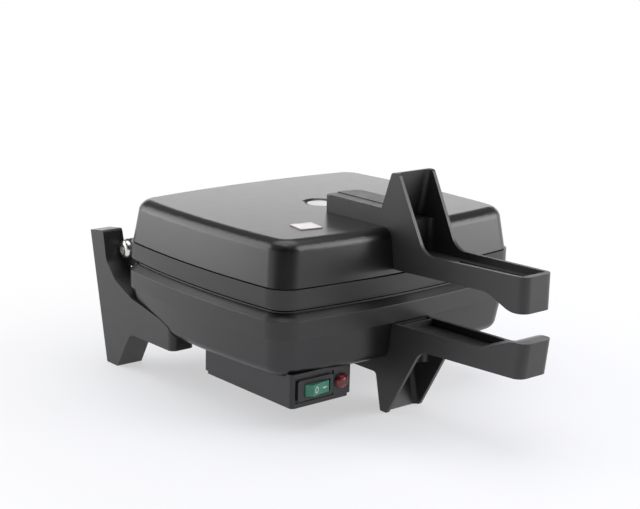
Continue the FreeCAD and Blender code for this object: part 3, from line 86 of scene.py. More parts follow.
def add_camera():
    """The camera that matches the photograph: a long lens, slightly rolled."""
    a, e, r = CAMERA_AZIMUTH, CAMERA_ELEVATION, CAMERA_ROLL
    back = Vector((math.sin(a) * math.cos(e), -math.cos(a) * math.cos(e), math.sin(e)))
    level_right = (-back).cross(Vector((0, 0, 1))).normalized()
    level_up = level_right.cross(-back)
    right = level_right * math.cos(r) + level_up * math.sin(r)
    up = level_up * math.cos(r) - level_right * math.sin(r)
    ahead = joints["lid_hinge"]["pos_m"][1] - CAMERA_BEFORE_HINGE
    target = Vector((CAMERA_SIDE, ahead, CAMERA_HEIGHT))
    data = bpy.data.cameras.new("camera")
    data.lens = LENS_MM
    data.sensor_width = SENSOR_MM
    data.sensor_fit = "HORIZONTAL"
    camera = bpy.data.objects.new("camera", data)
    turn = Matrix((right, up, back)).transposed().to_4x4()
    camera.matrix_world = Matrix.Translation(target + back * CAMERA_DISTANCE) @ turn
    bpy.context.scene.collection.objects.link(camera)
    bpy.context.scene.camera = camera


# Materials

class Nodes:
    """A small helper that makes and links the nodes of one material."""

    def __init__(self, name):
        self.material = bpy.data.materials.new(name)
        self.material.use_nodes = True
        self.tree = self.material.node_tree
        self.shader = self.tree.nodes["Principled BSDF"]
        self.place = self.add("ShaderNodeTexCoord").outputs["Object"]

    def add(self, kind, **settings):
        node = self.tree.nodes.new(kind)
        for key, value in settings.items():
            setattr(node, key, value)
        return node

    def link(self, source, target):
        self.tree.links.new(source, target)

    def noise(self, scale, detail=3.0, roughness=0.5, stretch=None):
        """Noise in the object's own coordinates, which are metres."""
        node = self.add("ShaderNodeTexNoise")
        node.inputs["Scale"].default_value = scale
        node.inputs["Detail"].default_value = detail
        node.inputs["Roughness"].default_value = roughness
        source = self.place
        if stretch is not None:
            mapping = self.add("ShaderNodeMapping")
            mapping.inputs["Scale"].default_value = stretch
            self.link(self.place, mapping.inputs["Vector"])
            source = mapping.outputs["Vector"]
        self.link(source, node.inputs["Vector"])
        return node.outputs["Fac"]

    def ramp(self, source, low, high, start=0.3, end=0.7):
        """A source spread between two colours or two greys."""
        node = self.add("ShaderNodeValToRGB")
        node.color_ramp.elements[0].position = start
        node.color_ramp.elements[1].position = end
        node.color_ramp.elements[0].color = rgba(low)
        node.color_ramp.elements[1].color = rgba(high)
        self.link(source, node.inputs["Fac"])
        return node.outputs["Color"]

    def bump(self, source, height, strength=1.0, under=None):
        """Bump of a real height in metres, over another bump if one is given."""
        node = self.add("ShaderNodeBump")
        node.inputs["Distance"].default_value = height
        node.inputs["Strength"].default_value = strength
        self.link(source, node.inputs["Height"])
        if under is not None:
            self.link(under, node.inputs["Normal"])
        return node.outputs["Normal"]

    def set(self, **values):
        for key, value in values.items():
            self.shader.inputs[key.replace("_", " ")].default_value = value


def rgba(colour):
    if isinstance(colour, (int, float)):
        colour = (colour, colour, colour)
    return (*colour, 1.0)


def tinted(colour, factor):
    return tuple(channel * factor for channel in colour)


def grained(name, colour, roughness, grain_size, grain_height, mottle=0.12, rough_change=0.03, **values):
    """A painted, moulded or cast surface: soft mottling, changing gloss and a fine grain."""
    made = Nodes(name)
    mottling = made.noise(35.0, 4.0, 0.6)
    made.link(made.ramp(mottling, tinted(colour, 1 - mottle), tinted(colour, 1 + mottle)),
              made.shader.inputs["Base Color"])
    gloss = made.noise(90.0, 5.0, 0.65)
    made.link(made.ramp(gloss, roughness - rough_change, roughness + rough_change),
              made.shader.inputs["Roughness"])
    grain = made.noise(1.0 / grain_size, 2.0, 0.5)
    made.link(made.bump(grain, grain_height, 1.0), made.shader.inputs["Normal"])
    made.set(**values)
    return made.material


def brushed(name, colour, roughness, stretch, **values):
    """A metal with fine lines along one axis."""
    made = Nodes(name)
    lines = made.noise(1.0, 4.0, 0.7, stretch)
    made.link(made.ramp(lines, tinted(colour, 0.85), tinted(colour, 1.1)), made.shader.inputs["Base Color"])
    made.link(made.ramp(lines, roughness - 0.06, roughness + 0.08), made.shader.inputs["Roughness"])
    made.link(made.bump(lines, 0.00001, 0.5), made.shader.inputs["Normal"])
    made.set(Metallic=1.0, **values)
    return made.material


def turned_disc():
    """Pale satin with the fine rings of a turned or moulded disc."""
    made = Nodes("pale_disc")
    low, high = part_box("lid_disc")
    centre = (low + high) / 2
    mapping = made.add("ShaderNodeMapping")
    mapping.inputs["Location"].default_value = -centre
    made.link(made.place, mapping.inputs["Vector"])
    rings = made.add("ShaderNodeTexWave", wave_type="RINGS", rings_direction="Z")
    rings.inputs["Scale"].default_value = 900.0
    rings.inputs["Distortion"].default_value = 0.6
    made.link(mapping.outputs["Vector"], rings.inputs["Vector"])
    made.link(made.ramp(rings.outputs["Fac"], (0.64, 0.64, 0.65), (0.70, 0.70, 0.71), 0.1, 0.9),
              made.shader.inputs["Base Color"])
    made.link(made.ramp(made.noise(120.0), 0.32, 0.42), made.shader.inputs["Roughness"])
    made.link(made.bump(rings.outputs["Fac"], 0.00001, 0.6), made.shader.inputs["Normal"])
    return made.material


def clear_plastic(name, colour, roughness, transmission, **values):
    """A tinted translucent moulding with faint flow marks."""
    made = Nodes(name)
    flow = made.noise(60.0, 3.0, 0.6, (1.0, 1.0, 3.0))
    made.link(made.ramp(flow, tinted(colour, 0.88), tinted(colour, 1.12)), made.shader.inputs["Base Color"])
    made.link(made.ramp(flow, roughness - 0.03, roughness + 0.04), made.shader.inputs["Roughness"])
    made.link(made.bump(made.noise(700.0), 0.000008, 0.5), made.shader.inputs["Normal"])
    made.set(Transmission_Weight=transmission, **values)
    return made.material


COVER_BLACK = (0.0070, 0.0070, 0.0074)
PLATE_BLACK = (0.0130, 0.0130, 0.0134)
HANDLE_BLACK = (0.0250, 0.0245, 0.0250)
BOX_BLACK = (0.0210, 0.0210, 0.0225)


def make_materials():
    return {
        "black_cover": grained("cover_enamel", COVER_BLACK, 0.30, 0.0012, 0.0000015, 0.10, 0.008, IOR=1.58),
        "cast_plate": grained("plate_coating", PLATE_BLACK, 0.36, 0.0008, 0.000006, 0.15, 0.02, IOR=1.56),
        "handle_plastic": grained("handle_plastic", HANDLE_BLACK, 0.42, 0.0005, 0.000006, IOR=1.56),
        "box_plastic": grained("box_plastic", BOX_BLACK, 0.38, 0.0005, 0.000007),
        "zinc_steel": brushed("zinc_steel", (0.72, 0.72, 0.70), 0.24, (900.0, 900.0, 120.0)),
        "heater_steel": brushed("heater_steel", (0.30, 0.29, 0.28), 0.45, (300.0, 300.0, 300.0)),
        "shield_sheet": brushed("shield_sheet", (0.75, 0.75, 0.76), 0.35, (900.0, 40.0, 900.0)),
        "brass": brushed("brass", (0.72, 0.50, 0.20), 0.30, (400.0, 400.0, 400.0)),
        "pale_disc": turned_disc(),
        "label_plate": grained("label_plate", (0.74, 0.68, 0.70), 0.30, 0.0006, 0.000003, 0.03),
        "green_rocker": clear_plastic("green_rocker", (0.025, 0.25, 0.155), 0.20, 0.15, Coat_Weight=0.2),
        "red_lens": clear_plastic("red_lens", (0.26, 0.012, 0.022), 0.10, 0.35, Coat_Weight=0.3),
        "clear_lamp": clear_plastic("clear_lamp", (0.85, 0.62, 0.45), 0.10, 0.80),
        "block_plastic": grained("block_plastic", (0.72, 0.71, 0.66), 0.40, 0.0006, 0.000006, 0.04),
        "sensor_steel": brushed("sensor_steel", (0.60, 0.60, 0.60), 0.32, (500.0, 500.0, 500.0)),
        "lead_cover": grained("lead_cover", (0.55, 0.53, 0.47), 0.50, 0.0005, 0.000006, 0.04),
    }


# Pieces made from the frame's own shapes, with their edges rounded

def applied(piece):
    """Bake a piece's modifiers into its mesh."""
    depsgraph = bpy.context.evaluated_depsgraph_get()
    mesh = bpy.data.meshes.new_from_object(piece.evaluated_get(depsgraph))
    piece.modifiers.clear()
    piece.data = mesh


def smooth_by_angle(mesh, degrees):
    """Smooth shading with sharp edges kept above an angle."""
    mesh.shade_smooth()
    limit = math.radians(degrees)
    bm = bmesh.new()
    bm.from_mesh(mesh)
    for edge in bm.edges:
        edge.smooth = len(edge.link_faces) == 2 and edge.calc_face_angle(0.0) < limit
    bm.to_mesh(mesh)
    bm.free()


def bevelled(piece, width, segments, angle=28.0):
    """Round a piece's sharp edges, and shade its flat faces flat."""
    bevel = piece.modifiers.new("bevel", "BEVEL")
    bevel.width = width
    bevel.segments = segments
    bevel.limit_method = "ANGLE"
    bevel.angle_limit = math.radians(angle)
    bevel.use_clamp_overlap = True
    applied(piece)
    smooth_by_angle(piece.data, 32.0)
    weights = piece.modifiers.new("normals", "WEIGHTED_NORMAL")
    weights.keep_sharp = True
    applied(piece)


def standing_in(piece, node, slot):
    """Let a piece ride with a CAD node, take its place and wear its slot's material."""
    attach(piece, nodes[node]["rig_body"])
    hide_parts(node)
    dress(piece, slot)


def dress(piece, slot):
    piece.data.materials.clear()
    piece.data.materials.append(materials[slot])


def copied(node):
    """A piece with a CAD node's shape, its flat faces whole again."""
    mesh = nodes[node].data.copy()
    piece = bpy.data.objects.new(node + "_rounded", mesh)
    bpy.context.scene.collection.objects.link(piece)
    bm = bmesh.new()
    bm.from_mesh(mesh)
    bmesh.ops.remove_doubles(bm, verts=bm.verts, dist=MM * 0.001)
    bmesh.ops.dissolve_limit(bm, angle_limit=math.radians(0.6), verts=bm.verts, edges=bm.edges)
    bm.to_mesh(mesh)
    bm.free()
    return piece


def softened(node, width, segments=2):
    """A copy of a CAD node with its sharp edges rounded, which stands for that node."""
    piece = copied(node)
    bevelled(piece, width, segments)
    standing_in(piece, node, slots[node])
    return piece


def islands(node):
    """The low and high corners of each solid in a node's mesh."""
    bm = bmesh.new()
    bm.from_mesh(nodes[node].data)
    bmesh.ops.remove_doubles(bm, verts=bm.verts, dist=MM * 0.001)
    left = set(bm.verts)
    boxes = []
    while left:
        stack = [left.pop()]
        found = []
        while stack:
            vert = stack.pop()
            found.append(vert.co.copy())
            for edge in vert.link_edges:
                other = edge.other_vert(vert)
                if other in left:
                    left.remove(other)
                    stack.append(other)
        low = Vector([min(co[k] for co in found) for k in range(3)])
        high = Vector([max(co[k] for co in found) for k in range(3)])
        boxes.append((low, high))
    bm.free()
    boxes.sort(key=lambda pair: tuple(round(v, 5) for v in pair[0]))
    return boxes


# Turned and cut forms

def turn_to(axis):
    """The rotation that carries +Z to an axis."""
    return Vector((0, 0, 1)).rotation_difference(Vector(axis)).to_matrix()


def add_turned(bm, profile, place, axis, segments=64, closed=False, ripple=None):
    """Add a form turned about an axis. profile runs in (radius, height) pairs; a closed one is a ring,
    and an open one starts and ends on the axis. ripple gives a factor on the radius for an angle and
    a radius."""
    turn = turn_to(axis)
    rings = []
    for radius, height in profile:
        if radius < MM * 0.001:
            rings.append([bm.verts.new(place + turn @ Vector((0, 0, height)))] * segments)
            continue
        ring = []
        for i in range(segments):
            angle = 2 * math.pi * i / segments
            reach = radius * (ripple(angle, radius) if ripple else 1.0)
            spot = Vector((reach * math.cos(angle), reach * math.sin(angle), height))
            ring.append(bm.verts.new(place + turn @ spot))
        rings.append(ring)
    pairs = list(zip(rings, rings[1:] + rings[:1])) if closed else list(zip(rings, rings[1:]))
    for low, high in pairs:
        for i in range(segments):
            j = (i + 1) % segments
            corners = [low[i], low[j], high[j], high[i]]
            corners = [v for k, v in enumerate(corners) if v not in corners[:k]]
            if len(corners) > 2:
                bm.faces.new(corners)


def piece_from(bm, name):
    """An object from a bmesh, with its faces turned outward."""
    bmesh.ops.recalc_face_normals(bm, faces=bm.faces)
    mesh = bpy.data.meshes.new(name)
    bm.to_mesh(mesh)
    bm.free()
    piece = bpy.data.objects.new(name, mesh)
    bpy.context.scene.collection.objects.link(piece)
    return piece


def combine(piece, tool, operation):
    """Cut a tool from a piece, or keep what the two share."""
    modifier = piece.modifiers.new("shape", "BOOLEAN")
    modifier.object = tool
    modifier.operation = operation
    modifier.solver = "EXACT"
    applied(piece)
    bpy.data.objects.remove(tool)


def add_prism(bm, outline, place, axis, height):
    """Add an upright prism over an outline of (x, y) points, then turned to an axis."""
    turn = turn_to(axis)
    low = [bm.verts.new(place + turn @ Vector((x, y, 0))) for x, y in outline]
    high = [bm.verts.new(place + turn @ Vector((x, y, height))) for x, y in outline]
    bm.faces.new(low[::-1])
    bm.faces.new(high)
    count = len(outline)
    for i in range(count):
        j = (i + 1) % count
        bm.faces.new((low[i], low[j], high[j], high[i]))


def hexagon(flats, turn=0.0):
    reach = flats / math.sqrt(3)
    return [(reach * math.cos(math.radians(60 * i) + turn), reach * math.sin(math.radians(60 * i) + turn))
            for i in range(6)]


def arc(centre, radius, start, end, steps):
    """Points of an arc in the (radius, height) plane, angles in degrees."""
    points = []
    for i in range(steps + 1):
        angle = math.radians(start + (end - start) * i / steps)
        points.append((centre[0] + radius * math.cos(angle), centre[1] + radius * math.sin(angle)))
    return points


# Small pieces

ROUND_EDGE = 0.3 * MM
BOLT_HEAD_HEIGHT = 4.4 * MM
BOLT_HEAD_RIM = 1.2 * MM
BOLT_HEAD_FLAT = 3.6 * MM
BOLT_SHANK = 4.0 * MM
BOLT_SOCKET = 5.0 * MM
BOLT_SOCKET_DEPTH = 2.6 * MM
SCREW_RECESS_WIDTH = 0.18
NUT_CHAMFER = 0.13


def make_bolts():
    """Button head bolts with a hexagon socket, their domes outward."""
    whole = bmesh.new()
    sockets = bmesh.new()
    for low, high in islands("hinge_bolts"):
        side = -1 if low.x < 0 else 1
        face = Vector((low.x if side < 0 else high.x, (low.y + high.y) / 2, (low.z + high.z) / 2))
        outward = (side, 0, 0)
        radius = (high.y - low.y) / 2
        length = high.x - low.x
        dome = arc((BOLT_HEAD_FLAT, -BOLT_HEAD_HEIGHT + BOLT_HEAD_RIM), 1.0, 0, 90, 8)
        across = radius - BOLT_HEAD_FLAT
        up = BOLT_HEAD_HEIGHT - BOLT_HEAD_RIM
        dome = [(BOLT_HEAD_FLAT + across * (r - BOLT_HEAD_FLAT), -up + up * (h + up)) for r, h in dome]
        profile = [(0, -length), (BOLT_SHANK, -length), (BOLT_SHANK, -BOLT_HEAD_HEIGHT),
                   (radius - ROUND_EDGE, -BOLT_HEAD_HEIGHT), (radius, -BOLT_HEAD_HEIGHT + ROUND_EDGE)]
        add_turned(whole, profile + dome + [(0, 0)], face, outward)
        floor = face - Vector(outward) * BOLT_SOCKET_DEPTH
        add_prism(sockets, hexagon(BOLT_SOCKET), floor, outward, BOLT_SOCKET_DEPTH * 2)
    bolts = piece_from(whole, "button_bolts")
    combine(bolts, piece_from(sockets, "sockets"), "DIFFERENCE")
    bevelled(bolts, 0.15 * MM, 2, 40.0)
    standing_in(bolts, "hinge_bolts", slots["hinge_bolts"])


def make_screws(node, shank, head_height):
    """Pan head screws with a cross recess, their heads downward."""
    whole = bmesh.new()
    crosses = bmesh.new()
    for low, high in islands(node):
        face = Vector(((low.x + high.x) / 2, (low.y + high.y) / 2, low.z))
        radius = (high.x - low.x) / 2
        length = high.z - low.z
        crown = head_height * 0.45
        dome = [(radius * math.cos(t), -crown + crown * math.sin(t))
                for t in (math.radians(9 * i) for i in range(10))]
        add_turned(whole, [(0, -length), (shank, -length), (shank, -head_height), (radius, -head_height)]
                   + dome + [(0, 0)], face, (0, 0, -1), 40)
        width = radius * SCREW_RECESS_WIDTH
        reach = radius * 0.62
        depth = head_height * 0.6
        deep = face + Vector((0, 0, depth))
        for x, y in ((reach, width), (width, reach)):
            tip = 0.55
            base = [(-x, -y), (x, -y), (x, y), (-x, y)]
            low_ring = [crosses.verts.new(deep + Vector((px * tip, py * tip, 0))) for px, py in base]
            high_ring = [crosses.verts.new(face + Vector((px, py, -MM * 0.1))) for px, py in base]
            crosses.faces.new(low_ring)
            crosses.faces.new(high_ring)
            for i in range(4):
                j = (i + 1) % 4
                crosses.faces.new((low_ring[i], low_ring[j], high_ring[j], high_ring[i]))
    screws = piece_from(whole, node + "_crossed")
    tool = piece_from(crosses, "crosses")
    modifier = screws.modifiers.new("shape", "BOOLEAN")
    modifier.object = tool
    modifier.operation = "DIFFERENCE"
    modifier.solver = "EXACT"
    modifier.use_self = True
    applied(screws)
    bpy.data.objects.remove(tool)
    smooth_by_angle(screws.data, 35.0)
    standing_in(screws, node, slots[node])


def make_nuts(node, axis, bore):
    """Hexagon nuts with chamfered corners and a bore."""
    whole = bmesh.new()
    cones = bmesh.new()
    bores = bmesh.new()
    axis = Vector(axis)
    for low, high in islands(node):
        middle = (low + high) / 2
        half = abs((high - low).dot(axis)) / 2
        sizes = sorted(high[k] - low[k] for k in range(3) if abs(axis[k]) < 0.5)
        flats, corners = sizes
        start = middle - axis * half
        turn = math.pi / 2 if axis.z < 0.5 else 0.0
        add_prism(whole, hexagon(flats, 0.0), start, axis, half * 2)
        limit = corners / 2
        drop = corners * NUT_CHAMFER / 2
        add_turned(cones, [(0, 0), (flats * 0.48, 0), (limit, drop), (limit, half * 2 - drop),
                           (flats * 0.48, half * 2), (0, half * 2)], start, axis, 72)
        add_turned(bores, [(0, -half), (bore, -half), (bore, half * 3), (0, half * 3)], start, axis, 48)
    nuts = piece_from(whole, node + "_chamfered")
    combine(nuts, piece_from(cones, "cones"), "INTERSECT")
    combine(nuts, piece_from(bores, "bores"), "DIFFERENCE")
    smooth_by_angle(nuts.data, 24.0)
    standing_in(nuts, node, slots[node])


LENS_RIM = 1.0 * MM
LENS_STEM = 4.3 * MM
LENS_STEM_LENGTH = 6.0 * MM
LENS_RIBS = 20
LENS_RIB_DEPTH = 0.035


def make_lens():
    """A domed lamp lens with fine ribs round its dome and a plain rim."""
    low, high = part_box("indicator_lens")
    radius = (high.x - low.x) / 2
    seat = Vector(((low.x + high.x) / 2, high.y - LENS_STEM_LENGTH, (low.z + high.z) / 2))
    rise = seat.y - low.y - LENS_RIM
    foot = radius - ROUND_EDGE

    def ribbed(angle, reach):
        share = min(1.0, max(0.0, (foot - reach) / foot * 4)) * min(1.0, reach / foot * 2.5)
        return 1.0 - LENS_RIB_DEPTH * share * abs(math.sin(angle * LENS_RIBS / 2))

    profile = [(0, -LENS_STEM_LENGTH), (LENS_STEM, -LENS_STEM_LENGTH), (LENS_STEM, 0), (radius, 0),
               (radius, LENS_RIM - ROUND_EDGE), (foot, LENS_RIM)]
    for step in range(1, 17):
        turn = math.radians(90 * step / 16)
        profile.append((foot * math.cos(turn), LENS_RIM + rise * math.sin(turn)))
    bm = bmesh.new()
    add_turned(bm, profile, seat, (0, -1, 0), 160, ripple=ribbed)
    bmesh.ops.remove_doubles(bm, verts=bm.verts, dist=MM * 0.001)
    lens = piece_from(bm, "ribbed_lens")
    smooth_by_angle(lens.data, 40.0)
    standing_in(lens, "indicator_lens", slots["indicator_lens"])


GLAND_WALL_OUT = 6.0 * MM
GLAND_BORE = 3.7 * MM
GLAND_INSIDE = 4.0 * MM
GLAND_FLANGE_THICKNESS = 2.0 * MM
GLAND_RIB = 1.2 * MM
GLAND_GROOVE = 0.7 * MM


def make_gland():
    """The cord's bush: a flange, then a sleeve with grooves round it, open from end to end."""
    low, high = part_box("cord_gland")
    start = Vector(((low.x + high.x) / 2, low.y, (low.z + high.z) / 2))
    length = high.y - low.y
    flange = (high.x - low.x) / 2
    behind = GLAND_INSIDE + GLAND_FLANGE_THICKNESS
    profile = [(GLAND_BORE, 0), (GLAND_WALL_OUT, 0), (GLAND_WALL_OUT, GLAND_INSIDE), (flange, GLAND_INSIDE),
               (flange, behind - ROUND_EDGE), (flange - ROUND_EDGE, behind), (GLAND_WALL_OUT, behind)]
    place = behind + GLAND_RIB
    while place + GLAND_RIB * 2 < length:
        profile += [(GLAND_WALL_OUT, place), (GLAND_WALL_OUT - GLAND_GROOVE, place + ROUND_EDGE),
                    (GLAND_WALL_OUT - GLAND_GROOVE, place + GLAND_RIB - ROUND_EDGE),
                    (GLAND_WALL_OUT, place + GLAND_RIB)]
        place += GLAND_RIB * 2
    profile += [(GLAND_WALL_OUT, length - ROUND_EDGE), (GLAND_WALL_OUT - ROUND_EDGE, length),
                (GLAND_BORE + ROUND_EDGE, length), (GLAND_BORE, length - ROUND_EDGE)]
    bm = bmesh.new()
    add_turned(bm, profile, start, (0, 1, 0), 64, closed=True)
    gland = piece_from(bm, "grooved_gland")
    smooth_by_angle(gland.data, 35.0)
    standing_in(gland, "cord_gland", slots["cord_gland"])


def make_disc():
    """The pale disc, its middle a shade lower than its rim."""
    low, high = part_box("lid_disc")
    radius = (high.x - low.x) / 2
    thickness = high.z - low.z
    centre = Vector(((low.x + high.x) / 2, (low.y + high.y) / 2, low.z))
    rim = radius - 0.9 * MM
    step = 0.15 * MM
    profile = [(0, 0), (radius - step, 0), (radius, step), (radius, thickness - ROUND_EDGE),
               (radius - ROUND_EDGE / 3, thickness - ROUND_EDGE / 3), (radius - ROUND_EDGE, thickness),
               (rim, thickness), (rim - step, thickness - step), (0, thickness - step)]
    bm = bmesh.new()
    add_turned(bm, profile, centre, (0, 0, 1), 128)
    disc = piece_from(bm, "rimmed_disc")
    smooth_by_angle(disc.data, 30.0)
    standing_in(disc, "lid_disc", slots["lid_disc"])


LABEL_BORDER = 0.9 * MM
LABEL_RECESS = 0.12 * MM


def make_label():
    """The blank plate, with a raised border round a bare field."""
    label = copied("blank_label")
    label.name = "bordered_label"
    bm = bmesh.new()
    bm.from_mesh(label.data)
    top = max(bm.faces, key=lambda face: face.normal.z * face.calc_area())
    bmesh.ops.inset_region(bm, faces=[top], thickness=LABEL_BORDER, depth=0.0)
    inner = bmesh.ops.inset_region(bm, faces=[top], thickness=LABEL_RECESS, depth=0.0)["faces"]
    bmesh.ops.translate(bm, verts=top.verts, vec=Vector((0, 0, -LABEL_RECESS)))
    bm.to_mesh(label.data)
    bm.free()
    smooth_by_angle(label.data, 30.0)
    standing_in(label, "blank_label", slots["blank_label"])


MARK_THICKNESS = 0.10 * MM
ZERO_PLACE = -3.4 * MM
ZERO_WIDTH = 1.7 * MM
ZERO_HEIGHT = 2.3 * MM
ZERO_STROKE = 0.62 * MM
ONE_PLACE = 4.6 * MM
ONE_LENGTH = 2.1 * MM
ONE_THICKNESS = 0.40 * MM


def make_marks():
    """The raised 0 and the bar of the switch, printed on its face."""
    source = nodes["switch_rocker"]
    shape = bmesh.new()
    shape.from_mesh(source.data)
    faces = BVHTree.FromBMesh(shape)
    shape.free()
    low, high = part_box("switch_rocker")
    axle = Vector(joints["rocker_tilt"]["pos_m"])
    height = (low.z + high.z) / 2
    bm = bmesh.new()
    for place, half_width, half_height in ((ZERO_PLACE, ZERO_WIDTH, ZERO_HEIGHT),
                                           (ONE_PLACE, ONE_LENGTH, ONE_THICKNESS)):
        start = Vector((axle.x + place, low.y - 10 * MM, height))
        spot, normal, _, _ = faces.ray_cast(start, Vector((0, 1, 0)))
        across = Vector((0, 0, 1)).cross(normal).normalized() * (1 if normal.y < 0 else -1)
        up = normal.cross(across)
        rings = []
        steps = 48
        bar = half_height < half_width
        widths = [0.0] if bar else [0.0, ZERO_STROKE]
        for inset in widths:
            for lift in (MARK_THICKNESS, -MARK_THICKNESS):
                ring = []
                for i in range(steps):
                    angle = 2 * math.pi * i / steps
                    c, s = math.cos(angle), math.sin(angle)
                    if bar:
                        c = math.copysign(abs(c) ** 0.15, c)
                        s = math.copysign(abs(s) ** 0.5, s)
                    flat = across * (half_width - inset) * c + up * (half_height - inset) * s
                    ring.append(bm.verts.new(spot + flat + normal * lift))
                rings.append(ring)
        order = [rings[0], rings[1]] if bar else [rings[0], rings[1], rings[3], rings[2]]
        loops = list(zip(order, order[1:])) if bar else list(zip(order, order[1:] + order[:1]))
        for first, second in loops:
            for i in range(steps):
                j = (i + 1) % steps
                bm.faces.new((first[i], first[j], second[j], second[i]))
        if bar:
            bm.faces.new(order[0])
            bm.faces.new(order[1])
    marks = piece_from(bm, "switch_marks")
    smooth_by_angle(marks.data, 40.0)
    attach(marks, source["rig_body"])
    dress(marks, slots["terminal_block"])


# Studio: places and sizes in metres, lamp levels as the radiance of their faces

def fade(made, value, low, high, start, end):
    """A value that runs from start to end while the input runs from low to high."""
    node = made.add("ShaderNodeMapRange", interpolation_type="SMOOTHSTEP", clamp=True)
    for name, number in (("From Min", low), ("From Max", high), ("To Min", start), ("To Max", end)):
        node.inputs[name].default_value = number
    made.link(value, node.inputs["Value"])
    return node.outputs["Result"]


def math_node(made, operation, first, second):
    node = made.add("ShaderNodeMath", operation=operation)
    for socket, value in zip(node.inputs, (first, second)):
        if isinstance(value, (int, float)):
            socket.default_value = value
        else:
            made.link(value, socket)
    return node.outputs["Value"]


FLOOR_NEAR = 0.10
FLOOR_FAR = 0.45
FLOOR_LIFT = 0.50


def add_floor():
    """A plain pale floor that keeps the object's shadow and runs out into the white behind it."""
    bpy.ops.mesh.primitive_plane_add(size=12.0, location=(0, 0, -0.0002))
    floor = bpy.context.object
    floor.name = "floor"
    made = Nodes("floor")
    tone = made.noise(3.0, 3.0, 0.5)
    made.link(made.ramp(tone, (0.86, 0.87, 0.96), (0.89, 0.90, 0.98)), made.shader.inputs["Base Color"])
    made.set(Roughness=0.75)
    made.shader.inputs["Specular IOR Level"].default_value = 0.2
    white = made.add("ShaderNodeEmission")
    white.inputs["Color"].default_value = (1, 1, 1, 1)
    length = made.add("ShaderNodeVectorMath", operation="LENGTH")
    made.link(made.place, length.inputs[0])
    share = fade(made, length.outputs["Value"], FLOOR_NEAR, FLOOR_FAR, FLOOR_LIFT, 1.0)
    path = made.add("ShaderNodeLightPath")
    seen = math_node(made, "MAXIMUM", path.outputs["Is Camera Ray"], path.outputs["Is Glossy Ray"])
    seen = math_node(made, "MAXIMUM", seen, path.outputs["Is Transmission Ray"])
    mix = made.add("ShaderNodeMixShader")
    made.link(math_node(made, "MULTIPLY", share, seen), mix.inputs["Fac"])
    made.link(made.shader.outputs["BSDF"], mix.inputs[1])
    made.link(white.outputs["Emission"], mix.inputs[2])
    output = made.tree.nodes["Material Output"]
    made.link(mix.outputs["Shader"], output.inputs["Surface"])
    floor.data.materials.append(made.material)


DARK_SIDE = Vector((-0.65, -0.76, 0.0))
HORIZON_TOP = (0.20, 0.30)
OVERHEAD = 0.25
SHADED = (0.45, 0.85)
SHADE = 0.06


class World:
    """The world's node tree, with the same small helpers as a material."""

    def __init__(self):
        self.world = bpy.data.worlds.new("studio")
        self.world.use_nodes = True
        self.tree = self.world.node_tree
        self.tree.nodes.clear()

    add = Nodes.add
    link = Nodes.link


def add_world():
    """A studio that is white behind the object. What lights and mirrors in it is white along the
    horizon, dim above and dark on the side that the photograph was taken from."""
    made = World()
    output = made.add("ShaderNodeOutputWorld")
    seen = made.add("ShaderNodeBackground")
    seen.inputs["Color"].default_value = (1, 1, 1, 1)
    around = made.add("ShaderNodeBackground")
    toward = made.add("ShaderNodeTexCoord").outputs["Generated"]
    split = made.add("ShaderNodeSeparateXYZ")
    made.link(toward, split.inputs["Vector"])
    rising = fade(made, split.outputs["Z"], *HORIZON_TOP, 1.0, OVERHEAD)
    facing = made.add("ShaderNodeVectorMath", operation="DOT_PRODUCT")
    made.link(toward, facing.inputs[0])
    facing.inputs[1].default_value = DARK_SIDE
    shaded = fade(made, facing.outputs["Value"], *SHADED, 1.0, SHADE)
    made.link(math_node(made, "MULTIPLY", rising, shaded), around.inputs["Strength"])
    around.inputs["Color"].default_value = (0.96, 0.975, 1.0, 1)
    path = made.add("ShaderNodeLightPath")
    either = math_node(made, "MAXIMUM", path.outputs["Is Camera Ray"], path.outputs["Is Transmission Ray"])
    mix = made.add("ShaderNodeMixShader")
    made.link(either, mix.inputs["Fac"])
    made.link(around.outputs["Background"], mix.inputs[1])
    made.link(seen.outputs["Background"], mix.inputs[2])
    made.link(mix.outputs["Shader"], output.inputs["Surface"])
    bpy.context.scene.world = made.world


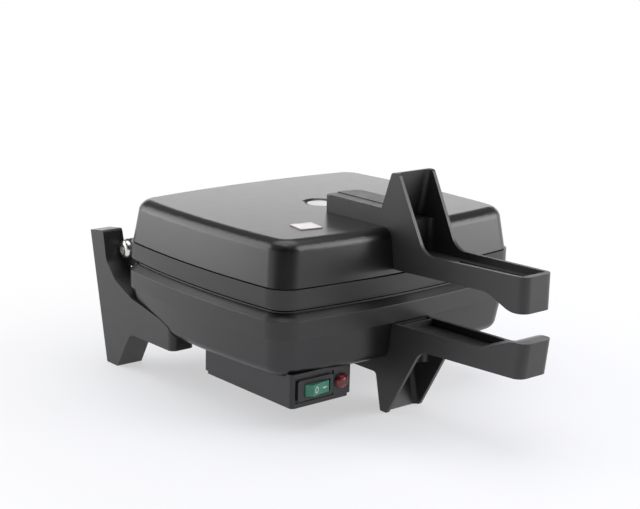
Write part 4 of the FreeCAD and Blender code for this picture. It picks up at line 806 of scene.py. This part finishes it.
def add_light(name, place, target, size, radiance, colour=(1.0, 0.99, 0.975)):
    """An area lamp, given by the radiance of its face."""
    data = bpy.data.lights.new(name, "AREA")
    data.shape = "RECTANGLE"
    data.size, data.size_y = size
    data.energy = math.pi * size[0] * size[1] * radiance
    data.color = colour
    light = bpy.data.objects.new(name, data)
    light.location = place
    light.rotation_euler = (Vector(target) - Vector(place)).to_track_quat("-Z", "Y").to_euler()
    light.visible_camera = False
    bpy.context.scene.collection.objects.link(light)


def add_softbox(name, azimuth, distance, width, low, high, radiance):
    """An upright softbox that faces the object, azimuth in degrees from +X."""
    turn = math.radians(azimuth)
    middle = (low + high) / 2
    place = (distance * math.cos(turn), distance * math.sin(turn), middle)
    add_light(name, place, (0.0, 0.0, middle), (width, high - low), radiance)


def add_studio():
    add_floor()
    add_world()
    add_softbox("left_softbox", 128.0, 1.70, 1.20, 0.02, 1.50, 2.7)
    add_softbox("right_softbox", -37.0, 1.75, 1.35, 0.02, 1.10, 3.6)
    add_softbox("back_strip", 50.0, 1.85, 2.20, 0.02, 0.60, 1.7)
    add_light("front_softbox", (0.72, -1.10, 0.95), (0.0, -0.1, 0.10), (0.9, 0.9), 3.2)
    add_light("top_softbox", (0.0, 0.1, 1.55), (0.0, 0.0, 0.0), (1.4, 1.4), 2.0)
    bpy.context.scene.view_settings.view_transform = "Standard"


# Build

add_camera()
materials = make_materials()
slots = {row["node"]: row["material_slot"] for row in frame["record"]["subparts"]}
for node, obj in nodes.items():
    obj.data.materials.clear()
    obj.data.materials.append(materials[slots[node]])

EDGES = {"upper_cover": 0.45, "lower_cover": 0.45, "upper_plate": 0.5, "lower_plate": 0.5, "upper_handle": 0.8,
         "lower_handle": 0.8, "rear_stand_left": 1.0, "rear_stand_right": 1.0, "control_box": 0.5,
         "control_box_cover": 0.5, "switch_housing": 0.45, "switch_rocker": 0.4, "terminal_block": 0.4}
for node, width in EDGES.items():
    softened(node, width * MM, 3)
make_bolts()
make_screws("rear_stand_screws", 2.0 * MM, 3.0 * MM)
make_screws("control_box_screws", 1.5 * MM, 1.5 * MM)
make_nuts("hinge_nuts", (1, 0, 0), 4.0 * MM)
make_nuts("lower_nuts", (0, 0, 1), 3.0 * MM)
make_nuts("upper_nuts", (0, 0, 1), 3.0 * MM)
make_lens()
make_gland()
make_disc()
make_label()
make_marks()

add_studio()
